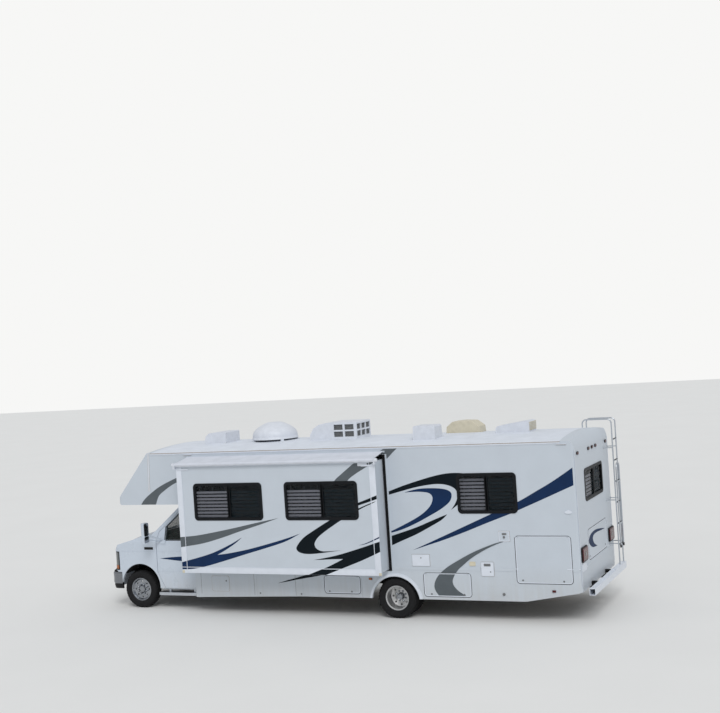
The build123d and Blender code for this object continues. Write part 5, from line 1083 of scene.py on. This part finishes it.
def utility_plates():
    """Hatches and inlets of the driver's side, over their plates."""
    hatch = (5.889, 6.221, 0.942, 1.151)
    inlet = (7.148, 7.382, 0.781, 1.029)
    filler = (1.798, 2.171, 0.425, 0.710)
    shower = (7.502, 7.693, 1.382, 1.555)
    outward = (0, -1, 0)
    white, cream, gray, seal = Piece(), Piece(), Piece(), Piece()
    white.slab(inset(hatch, 0.008, 0.012), left_side, HATCH, 0.0105)
    white.slab(inset(inlet, 0.010, 0.02), left_side, HATCH, 0.012)
    white.ring(inset(shower, 0.0, 0.012), inset(shower, 0.012, 0.008), left_side, HATCH, 0.011)
    white.slab(oval(8.735, 1.881, 0.030, 0.030), left_side, 0.0, 0.010)
    white.slab(oval(8.735, 1.872, 0.062, 0.026, 28), left_side, 0.0, 0.014)
    cream.slab(rounded(6.946, 7.057, 0.957, 1.033, 0.014), left_side, PLATE, 0.009)
    cream.slab(rounded(6.955, 7.048, 0.966, 1.010, 0.010), left_side, 0.009, 0.013)
    gray.slab(rounded(7.205, 7.325, 0.955, 1.000, 0.008), left_side, 0.012, 0.0145)
    for n in range(4):
        z = 0.960 + 0.009 * n
        gray.slab(rectangle(7.215, 7.315, z, z + 0.004), left_side, 0.0145, 0.016)
    gray.lathe(at(7.53, -HOUSE_HALF, 0.478), outward, DRAIN, 24)
    gray.lathe(at(7.595, -HOUSE_HALF - HATCH, 1.455), outward, TAP, 24)
    gray.slab(rounded(7.560, 7.640, 1.49, 1.525, 0.006), left_side, HATCH, 0.0095)
    for bounds, corner in ((hatch, 0.012), (inlet, 0.02), (filler, 0.04), (shower, 0.012)):
        seal.ring(inset(bounds, -0.004, corner), inset(bounds, 0.0, corner), left_side, 0.0, 0.0016)
    white.done("utility_hatches", TRIM_WHITE, "body")
    cream.done("cable_inlet_cover", CREAM, "body")
    gray.done("utility_fittings", GRAY, "body")
    seal.done("hatch_gaskets", AGED, "body")


def slide_plate():
    """Pale plate at the top rear of the slide-out room."""
    plate = (5.148, 5.326, 2.763, 2.817)
    piece = Piece()
    piece.slab(inset(plate, 0.0, 0.006), slide_side, 0.0, 0.004)
    piece.slab(inset(plate, 0.008, 0.004), slide_side, 0.004, 0.0055)
    piece.done("slide_plate", COVER_WHITE, "slide_room")


# Roof equipment

def vent_skins():
    """Rounded cover of a roof vent, and louvres on another one's rear."""
    shape = [(6.198, -0.055), (6.213, 0.121), (6.329, 0.2125), (6.480, 0.2225), (6.701, 0.2125),
             (6.8365, 0.111), (6.852, -0.055)]
    middle_x = 6.525
    piece = Piece()
    piece.hull([[at(middle_x + (x - middle_x) * (1 - shrink), y, ROOF_TOP + z - shrink) for x, z in shape]
                for y, shrink in ((0.048, 0.004), (0.052, 0.0), (0.428, 0.0), (0.432, 0.004))])

    def vent_rear(u, v, w):
        return at(7.85 + w, u, ROOF_TOP + v)

    for n in range(5):
        low = 0.045 + 0.028 * n
        piece.slab(rectangle(-0.185, 0.235, low, low + 0.017), vent_rear, 0.0, 0.010)
    piece.slab(rectangle(-0.195, 0.245, 0.030, 0.040), vent_rear, 0.0, 0.006)
    piece.done("roof_vent_skins", CREAM, "body")


def roof_flanges():
    """Bands and clips of the satellite dome, and sealed edges round the roof's covers."""
    dome_x = 2.68
    piece = Piece()
    for z, r, h in ((3.170, 0.4335, 0.014), (3.236, 0.4300, 0.006)):
        band = ((0, r - 0.012), (0, r), (h, r), (h, r - 0.012))
        piece.hoop(lambda u, v, w: at(dome_x + u, v, z + w), band, 72)
    for a in arc(15, 300, 5):
        piece.lathe(at(dome_x + 0.428 * cos(a), 0.428 * sin(a), 3.196), (cos(a), sin(a), 0), CLIP, 12)
    for bounds in ((1.30, 1.83, -0.43, 0.18), (5.83, 6.32, -0.80, -0.37), (7.20, 7.88, -0.23, 0.28),
                   (6.17, 6.88, 0.02, 0.46)):
        corners = [at(x, y, roof_height(y) + 0.001) for x, y in rectangle(*bounds)]
        for ends in zip(corners, corners[1:] + corners[:1]):
            piece.tube(list(ends), 0.008, 8)
    piece.done("roof_flanges", COVER_WHITE, "body")


def condenser_coil():
    """Finned coil in the air conditioner's rear."""
    piece = Piece()
    piece.box((4.02, 4.545), (-0.318, 0.318), (ROOF_TOP + 0.02, ROOF_TOP + 0.275), 0.004)
    for n in range(26):
        z = ROOF_TOP + 0.03 + 0.0092 * n
        piece.box((4.015, 4.550), (-0.322, 0.322), (z, z + 0.0022))
    piece.done("condenser_coil", GRAY, "body")


# Rear details

def rear_details():
    """Crescent on the hatch, the beam's brackets, the number plate and the corner seams."""
    stripe("hatch_crescent", HATCH_CRESCENT, rear_side, NAVY, "rear_hatch",
           within=rounded(-0.64, 0.72, 0.97, 1.47, 0.05))
    iron = Piece()
    for y in (-0.589, 0.449):
        iron.box((8.872, 9.003), (y - 0.02, y + 0.02), (0.535, 0.60), 0.004)
        iron.box((8.885, 9.003), (y - 0.035, y + 0.035), (0.575, 0.590), 0.002)
    iron.done("beam_brackets", IRON, "body")
    plate = (-1.16, -0.90, 0.865, 0.985)
    white = Piece()
    white.slab(inset(plate, 0.0, 0.010), rear_side, 0.0, 0.003)
    white.ring(inset(plate, -0.010, 0.014), inset(plate, 0.005, 0.008), rear_side, 0.0, 0.006)
    for y in (-1.235, 1.22):
        white.slab(rectangle(y, y + 0.015, 0.62, 2.90), rear_side, -0.001, 0.002)
    white.done("rear_trims", TRIM_WHITE, "body")


# Cab details

def nose_path(z, out):
    """Points along the front bumper's plan, from one end round to the other."""
    nose, end, corner = -0.698, -0.405, 0.19
    points = [(end, -CAB_HALF - out)]
    for a in arc(0, 90, 12):
        points.append((nose + corner - (corner + out) * sin(a), -CAB_HALF + corner - (corner + out) * cos(a)))
    return [at(x, y, z) for x, y in points + [(x, -y) for x, y in reversed(points)]]


def wrapped(section):
    """A piece that follows the bumper's plan, from (distance out, height) points."""
    piece = Piece()
    piece.hull(list(zip(*(nose_path(z, out) for out, z in section))))
    return piece


def bumper_skins():
    """Chrome bumper with its rolled edges over a black valance."""
    chrome = wrapped(((-0.050, 0.699), (-0.018, 0.700), (-0.007, 0.694), (-0.001, 0.680), (0.0, 0.655),
                      (-0.003, 0.575), (0.0, 0.500), (-0.004, 0.478), (-0.014, 0.468), (-0.050, 0.466)))
    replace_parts(chrome.done("chrome_bumper", BRIGHT, "body", soften=50), "front_bumper")
    valance = wrapped(((-0.050, 0.464), (-0.016, 0.464), (-0.014, 0.440), (-0.020, 0.400), (-0.030, 0.374),
                       (-0.052, 0.371)))
    for y0, y1 in ((-0.52, -0.14), (-0.10, 0.10), (0.14, 0.52)):
        valance.slab(rounded(y0, y1, 0.395, 0.445, 0.012), lambda u, v, w: at(-0.686 - w, u, v), 0.0, 0.006)
    valance.done("bumper_valance", BLACK, "body")
    gap = wrapped(((-0.060, 0.722), (-0.026, 0.722), (-0.020, 0.712), (-0.022, 0.702), (-0.060, 0.702)))
    gap.done("bumper_gap_cover", SEAL, "body")


def grille_bars():
    """Bright frame and bars of the grille."""
    grille = (-0.338, 0.338, 0.752, 1.088)
    bars = Piece()
    bars.ring(inset(grille, 0.0, 0.02), inset(grille, 0.020, 0.014), front_face, 0.0, 0.012)
    for z in (0.838, 0.913, 0.988):
        bars.slab(rounded(-0.32, 0.32, z, z + 0.020, 0.008), front_face, -0.004, 0.009)
    bars.done("grille_bars", CHROME, "body")


def lamp_curve(side, z, out):
    """Line across a headlamp, from beside the grille round the cab's corner."""
    lean = (z - FRONT_LOW) * FRONT_LEAN
    corner = 0.190
    points = [at(FRONT_X + lean - out, side * 0.603, z)]
    for n, a in enumerate(arc(0, 80, 8)):
        points.append(at(-0.422 - (corner + out) * cos(a) + lean * (1 - n / 9),
                         side * (0.817 + (corner + out) * sin(a)), z))
    return points


def headlamp_details():
    """Outlines and turn signals of the headlamps."""
    line, amber = Piece(), Piece()
    for side in (LEFT, RIGHT):
        low, high = (lamp_curve(side, z, 0.001) for z in (0.752, 1.098))
        for edge in (low, high):
            line.tube(edge, 0.010, 10)
        for n in (0, 3, -1):
            line.tube([low[n], high[n]], 0.009, 10)
        rows = [lamp_curve(side, z, out) for z, out in (
            (0.765, 0.0), (0.765, 0.004), (0.835, 0.004), (0.835, 0.0))]
        amber.hull(list(zip(*rows))[3:])
    line.done("headlamp_outlines", SEAL, "body")
    amber.done("turn_signals", AMBER, "body")


def cab_door_trim(side, tag):
    """Creases, window rubber, handle and mirror of one cab door."""
    place = cab_side(side)
    door = f"{tag}_cab_door"
    window = [(0.640, 1.340), (0.662, 1.594), (0.975, 1.869), (1.330, 1.869), (1.330, 1.340)]
    middle = [sum(values) / len(window) for values in zip(*window)]
    wider = [(u + (u - middle[0]) * 0.045, v + (v - middle[1]) * 0.045) for u, v in window]
    white = Piece()
    for z in (CREASE_Z, 0.726):
        white.slab(rectangle(0.45, 1.395, z, z + CREASE), place, -0.001, 0.0035)
    white.done(f"{tag}_door_creases", SHADED_CAB_WHITE, door)
    black = Piece()
    black.ring(wider, window, place, -0.001, 0.003)
    black.slab(rounded(1.215, 1.365, 1.035, 1.085, 0.012), place, -0.001, 0.003)
    black.slab(rounded(1.225, 1.355, 1.050, 1.078, 0.010), place, 0.003, 0.022)
    black.slab(oval(1.30, 0.985, 0.012, 0.012), place, -0.001, 0.003)
    black.done(f"{tag}_door_fittings", BLACK, door)

    def glass(u, v, w):
        return at(0.442 + w, side * u, v)

    mirror = Piece()
    mirror.slab(rounded(1.243, 1.396, 1.468, 1.716, 0.030), glass, -0.002, 0.003)
    mirror.slab(rounded(1.243, 1.396, 1.342, 1.458, 0.026), glass, -0.002, 0.003)
    mirror.done(f"{tag}_mirror_glass", CHROME, door, slot="glass")
    base = Piece()
    base.slab(rounded(0.530, 0.660, 1.262, 1.345, 0.02), place, -0.002, 0.010)
    base.slab(rounded(0.545, 0.645, 1.274, 1.333, 0.014), place, 0.010, 0.016)
    base.done(f"{tag}_mirror_base", SHADED_CAB_WHITE, door)


def cowl(u, v, w):
    """Place on the windshield's lower edge."""
    return at(0.30 + (v - 1.408) / 0.8795 - w * 0.66, u, v + w * 0.75)


def cab_trim():
    """The doors' trim, and the fenders' vents and creases, the wipers and the cowl."""
    for side, tag in SIDES:
        cab_door_trim(side, tag)
    black, white = Piece(), Piece()
    for side in (LEFT, RIGHT):
        place = cab_side(side)
        black.slab(rounded(0.155, 0.358, 1.150, 1.200, 0.008), place, -0.001, 0.0025)
        for n in range(6):
            x = 0.168 + 0.031 * n
            black.slab(rectangle(x, x + 0.018, 1.158, 1.192), place, 0.0025, 0.0045)
        white.slab(rectangle(-0.40, 0.424, CREASE_Z, CREASE_Z + CREASE), place, -0.001, 0.0035)
    for y0, y1 in ((-0.70, -0.12), (-0.05, 0.52)):
        black.tube([at(0.325, y0, 1.440), at(0.345, (y0 + y1) / 2, 1.462), at(0.352, y1, 1.470)], 0.008, 8)
        black.tube([at(0.352, y0 + 0.10, 1.468), at(0.352, y1, 1.468)], 0.005, 6)
        black.lathe(at(0.322, y0, 1.410), (0, 0, 1), PIVOT, 16)
    black.slab(rectangle(-0.76, 0.76, 1.4, 1.43), cowl, 0.0, 0.004)
    black.done("cab_vents_and_wipers", BLACK, "body")
    white.done("fender_creases", SHADED_CAB_WHITE, "body")


def hood_crown():
    """Raised middle of the hood."""
    half, steps = 0.60, 24
    rings = []
    for x, lift in ((-0.470, 0.0), (-0.440, 0.016), (-0.30, 0.030), (-0.05, 0.034), (0.12, 0.028),
                    (0.170, 0.010), (0.184, 0.0)):
        base = 1.240 + (x + 0.480) * 0.2699
        ring = []
        for n in range(steps + 1):
            t = n / steps
            rise = min(1.0, 2.6 * sin(pi * t))
            ring.append(at(x, half * (2 * t - 1), base + 0.0005 + lift * rise))
        rings.append(ring + [at(x, half, base - 0.006), at(x, -half, base - 0.006)])
    piece = Piece()
    piece.hull(rings)
    piece.done("hood_crown", SHADED_CAB_WHITE, "hood", soften=60)


# Inside the cab

def cushion(name, size, corner, cap):
    """A stuffed pad, swollen as cloth under pressure from a smaller rounded block."""
    mesh = bmesh.new()
    for vertex in bmesh.ops.create_cube(mesh, size=1)["verts"]:
        vertex.co = Vector(a * b for a, b in zip(vertex.co, size))
    bmesh.ops.bevel(mesh, geom=list(mesh.edges), offset=corner, segments=4, affect="EDGES", profile=0.5)
    data = bpy.data.meshes.new(name)
    mesh.to_mesh(data)
    mesh.free()
    pad = add(name, data)
    even = pad.modifiers.new("even", "REMESH")
    even.mode = "VOXEL"
    even.voxel_size = 0.010
    settle(pad)
    start = [v.co.copy() for v in pad.data.vertices]
    cloth = pad.modifiers.new("cloth", "CLOTH")
    cloth.settings.use_pressure = True
    cloth.settings.uniform_pressure_force = 4
    cloth.settings.effector_weights.gravity = 0
    scene = bpy.context.scene
    for number in range(1, 21):
        scene.frame_set(number)
    swollen = bpy.data.meshes.new_from_object(pad.evaluated_get(bpy.context.evaluated_depsgraph_get()))
    pad.modifiers.clear()
    for vertex, before, after in zip(pad.data.vertices, start, swollen.vertices):
        step = after.co - before
        if step.length > cap:
            step *= cap / step.length
        vertex.co = before + step
    scene.frame_set(1)
    pad.modifiers.new("smooth", "SUBSURF").levels = 1
    settle(pad)
    return pad


def cab_seats():
    """Two padded seats on their pedestals, in place of the plain ones."""
    pads = (
        (cushion("seat_cushion", (0.430, 0.480, 0.085), 0.032, 0.014), "cushion", (0.975, 0.958), -1),
        (cushion("seat_back", (0.085, 0.455, 0.620), 0.036, 0.014), "backrest", (1.262, 1.310), 9.75),
        (cushion("head_rest", (0.060, 0.250, 0.130), 0.028, 0.010), "head_rest", (1.345, 1.570), 9.75),
    )
    frames = Piece()
    for side, tag in SIDES:
        y = side * 0.445
        for pad, name, (x, z), tilt in pads:
            made = add(f"{tag}_seat_{name}", pad.data.copy())
            made.data.materials.clear()
            made.data.materials.append(SEAT_CLOTH)
            made.data.shade_smooth()
            made.matrix_world = Matrix.Translation(at(x, y, z)) @ Matrix.Rotation(radians(tilt), 4, "Y")
            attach(made, "body")
        frames.box((0.765, 1.235), (y - 0.235, y + 0.235), (0.742, 0.900), 0.015)
        frames.box((0.760, 1.240), (y - 0.250, y + 0.250), (0.885, 0.912), 0.006)
        for edge in (y - 0.20, y + 0.20):
            frames.tube([at(1.20, edge, 0.90), at(1.235, edge, 0.98), at(1.300, edge, 1.30)], 0.012, 10)
    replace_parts(frames.done("seat_frames", BLACK, "body", slot="seat_cloth"), "cab_seats")
    for row in pads:
        bpy.data.objects.remove(row[0])


def cab_inside():
    """Instrument hood and vents of the dashboard."""
    rings = []
    for y, swell in ((-0.62, 0.0), (-0.58, 0.055), (-0.42, 0.055), (-0.26, 0.055), (-0.22, 0.0)):
        rings.append([at(0.44, y, 1.318), at(0.50, y, 1.322 + swell), at(0.60, y, 1.318 + swell),
                      at(0.618, y, 1.30)])
    piece = Piece()
    piece.hull(rings)
    for y in (-0.78, 0.05, 0.30, 0.72):
        piece.box((0.616, 0.626), (y - 0.06, y + 0.06), (1.20, 1.27), 0.003)
        for n in range(4):
            z = 1.208 + 0.015 * n
            piece.box((0.626, 0.629), (y - 0.055, y + 0.055), (z, z + 0.006))
    piece.done("dashboard_fittings", BLACK, "body")


def arch_liners():
    """Dark liners on the front wheel arches, and panels above the running boards."""
    section = ((0.4375, 0.60), (0.4375, 0.985), (0.4345, 0.985), (0.4345, 0.60))
    dark, sill = Piece(), Piece()
    for side in (LEFT, RIGHT):
        dark.hull([[at(0.035 + r * cos(a), side * y, 0.430 + r * sin(a)) for r, y in section]
                   for a in arc(0, 146, 40)])
        place = cab_side(side)
        sill.slab(rectangle(0.52, 1.40, 0.375, 0.50), place, -0.052, -0.044)
        for z in (0.39, 0.42, 0.45):
            sill.slab(rectangle(0.52, 1.40, z, z + 0.008), place, -0.044, -0.040)
    dark.done("front_arch_liners", BLACK, "body")
    sill.done("sill_panels", SHADED_CAB_WHITE, "body")


def skirt_seams():
    """Moulding along the sides and the rear, and the seams of the skirt's panels."""
    white, seal = Piece(), Piece()
    for place, spans in ((left_side, ((5.62, 7.13), (7.40, 7.815), (8.655, 8.885))),
                         (right_side, ((5.62, 8.885),))):
        for x0, x1 in spans:
            white.slab(rectangle(x0, x1, 0.906, 0.922), place, 0.0, 0.004)
            seal.slab(rectangle(x0, x1, 0.9035, 0.906), place, 0.0, 0.0015)
        for x in (1.560, 2.700, 3.560):
            seal.slab(rectangle(x, x + 0.005, 0.370, 0.86), place, 0.0, 0.0012)
    white.slab(rectangle(-1.20, 1.20, 0.886, 0.900), rear_side, 0.0, 0.004)
    white.done("skirt_mouldings", TRIM_WHITE, "body")
    seal.done("skirt_seams", GRAY, "body")


# Passenger's side

def entry_door_fittings():
    """Window and handle of the entry door."""
    window = (4.42, 4.79, 1.72, 2.33)
    pane = inset(window, 0.025, 0.035)
    black = Piece()
    black.ring(inset(window, 0.0, 0.05), pane, right_side, 0.0, 0.008)
    black.slab(pane, right_side, 0.0, 0.003)
    black.slab(rounded(4.80, 4.89, 1.30, 1.46, 0.012), right_side, 0.0, 0.006)
    black.slab(rounded(4.815, 4.875, 1.33, 1.39, 0.010), right_side, 0.006, 0.026)
    black.done("entry_door_fittings", FRAME_BLACK, "entry_door")


def awning_arms():
    """Grab rail beside the entry door and arms of the rolled patio awning."""
    piece = Piece()
    grip_x, low, high = 5.02, 1.15, 1.85
    piece.tube([right_side(grip_x, v, out) for v, out in (
        (low, 0.0), (low + 0.05, 0.055), (high - 0.05, 0.055), (high, 0.0))], 0.013, 14)
    for v in (low, high):
        piece.slab(oval(grip_x, v, 0.026, 0.026), right_side, 0.0, 0.006)
    for x in (3.055, 6.545):
        for half, y0, y1, z, bevel in ((0.018, 0.0, 0.030, (1.02, 2.80), 0.004),
                                       (0.011, 0.030, 0.046, (1.10, 2.78), 0.003),
                                       (0.03, 0.0, 0.036, (0.98, 1.04), 0.006)):
            piece.box((x - half, x + half), (HOUSE_HALF + y0, HOUSE_HALF + y1), z, bevel)
    piece.done("awning_arms", ALUMINIUM, "body")


def passenger_vents():
    """Porch lamp, and the refrigerator's and heater's louvred vents."""
    lamp = (5.10, 5.22, 2.18, 2.30)
    white = Piece()
    white.slab(inset(lamp, 0.0, 0.02), right_side, 0.0, 0.018)
    white.slab(inset(lamp, 0.012, 0.015), right_side, 0.018, 0.040)
    for vent in ((3.20, 3.75, 1.08, 1.52), (7.05, 7.47, 0.95, 1.30)):
        x0, x1, z0, z1 = vent
        field = inset(vent, 0.02, 0.012)
        white.ring(inset(vent, 0.0, 0.02), field, right_side, 0.0, 0.010)
        white.slab(field, right_side, 0.0, 0.003)
        for n in range(int((z1 - z0 - 0.08) / 0.03)):
            z = z0 + 0.045 + 0.03 * n
            white.slab(rectangle(x0 + 0.05, x1 - 0.05, z, z + 0.016), right_side, 0.003, 0.008)
    white.done("passenger_side_vents", TRIM_WHITE, "body")


# Camera, floor and light

def camera():
    """The photograph's view: from the driver's side, toward the rear corner."""
    yaw, pitch, roll = radians(23.83), radians(-0.43), radians(-3.77)
    photo_width, focal = 720, 1230.1
    ahead = Vector((-sin(yaw) * cos(pitch), cos(yaw) * cos(pitch), sin(pitch)))
    right = Vector((cos(yaw), sin(yaw), 0))
    up = right.cross(ahead)
    across = right * cos(roll) + up * sin(roll)
    upward = up * cos(roll) - right * sin(roll)
    data = bpy.data.cameras.new("camera")
    data.sensor_fit = "HORIZONTAL"
    data.sensor_width = 36
    data.lens = data.sensor_width * focal / photo_width
    data.clip_end = 200
    made = add("camera", data)
    turned = Matrix((across, upward, -ahead)).transposed().to_4x4()
    made.matrix_world = Matrix.Translation(at(13.97, -21.23, 4.83)) @ turned
    bpy.context.scene.camera = made


def floor():
    """Pale floor that reaches out of view."""
    reach = 90
    mesh = bpy.data.meshes.new("floor")
    mesh.from_pydata([(x, y, 0) for x, y in rectangle(-reach, reach, -reach, reach)], [], [(0, 1, 2, 3)])
    mesh.materials.append(finish("floor", (0.80, 0.80, 0.79), rough=0.9, grain=0.5, vary=0.01, bump=0.02,
                                 bump_grain=60))
    add("floor", mesh)


def studio():
    """Pale surround and soft light from the camera's side."""
    scene = bpy.context.scene
    scene.view_settings.view_transform = "Standard"
    world = bpy.data.worlds.new("studio")
    scene.world = world
    world.use_nodes = True
    tree = world.node_tree
    light = node(tree, "Background", Color=(0.96, 0.98, 1.0, 1), Strength=0.62)
    seen = node(tree, "Background", Color=(0.93, 0.93, 0.92, 1), Strength=1.0)
    path = node(tree, "LightPath")
    mix = node(tree, "MixShader")
    join(tree, (path, "Is Camera Ray", mix, "Fac"), (light, "Background", mix, 1),
         (seen, "Background", mix, 2), (mix, "Shader", tree.nodes["World Output"], "Surface"))
    sun = bpy.data.lights.new("key light", "SUN")
    sun.energy = 1.3
    sun.angle = radians(25)
    add("key light", sun).rotation_euler = Vector((0.35, -0.62, 0.70)).to_track_quat("Z", "Y").to_euler()


camera()
floor()
studio()
dress_cad_nodes()
slide_stripes()
wall_stripes()
passenger_stripes()
slide_trim()
slide_seals()
blinds()
tyres()
wheel_trims()
ladder_rails()
lamp_lenses()
topper()
topper_hardware()
gutters()
arch_flares()
latches()
door_beads()
utility_plates()
slide_plate()
vent_skins()
roof_flanges()
condenser_coil()
rear_details()
bumper_skins()
grille_bars()
headlamp_details()
cab_trim()
hood_crown()
cab_seats()
cab_inside()
arch_liners()
skirt_seams()
entry_door_fittings()
awning_arms()
passenger_vents()
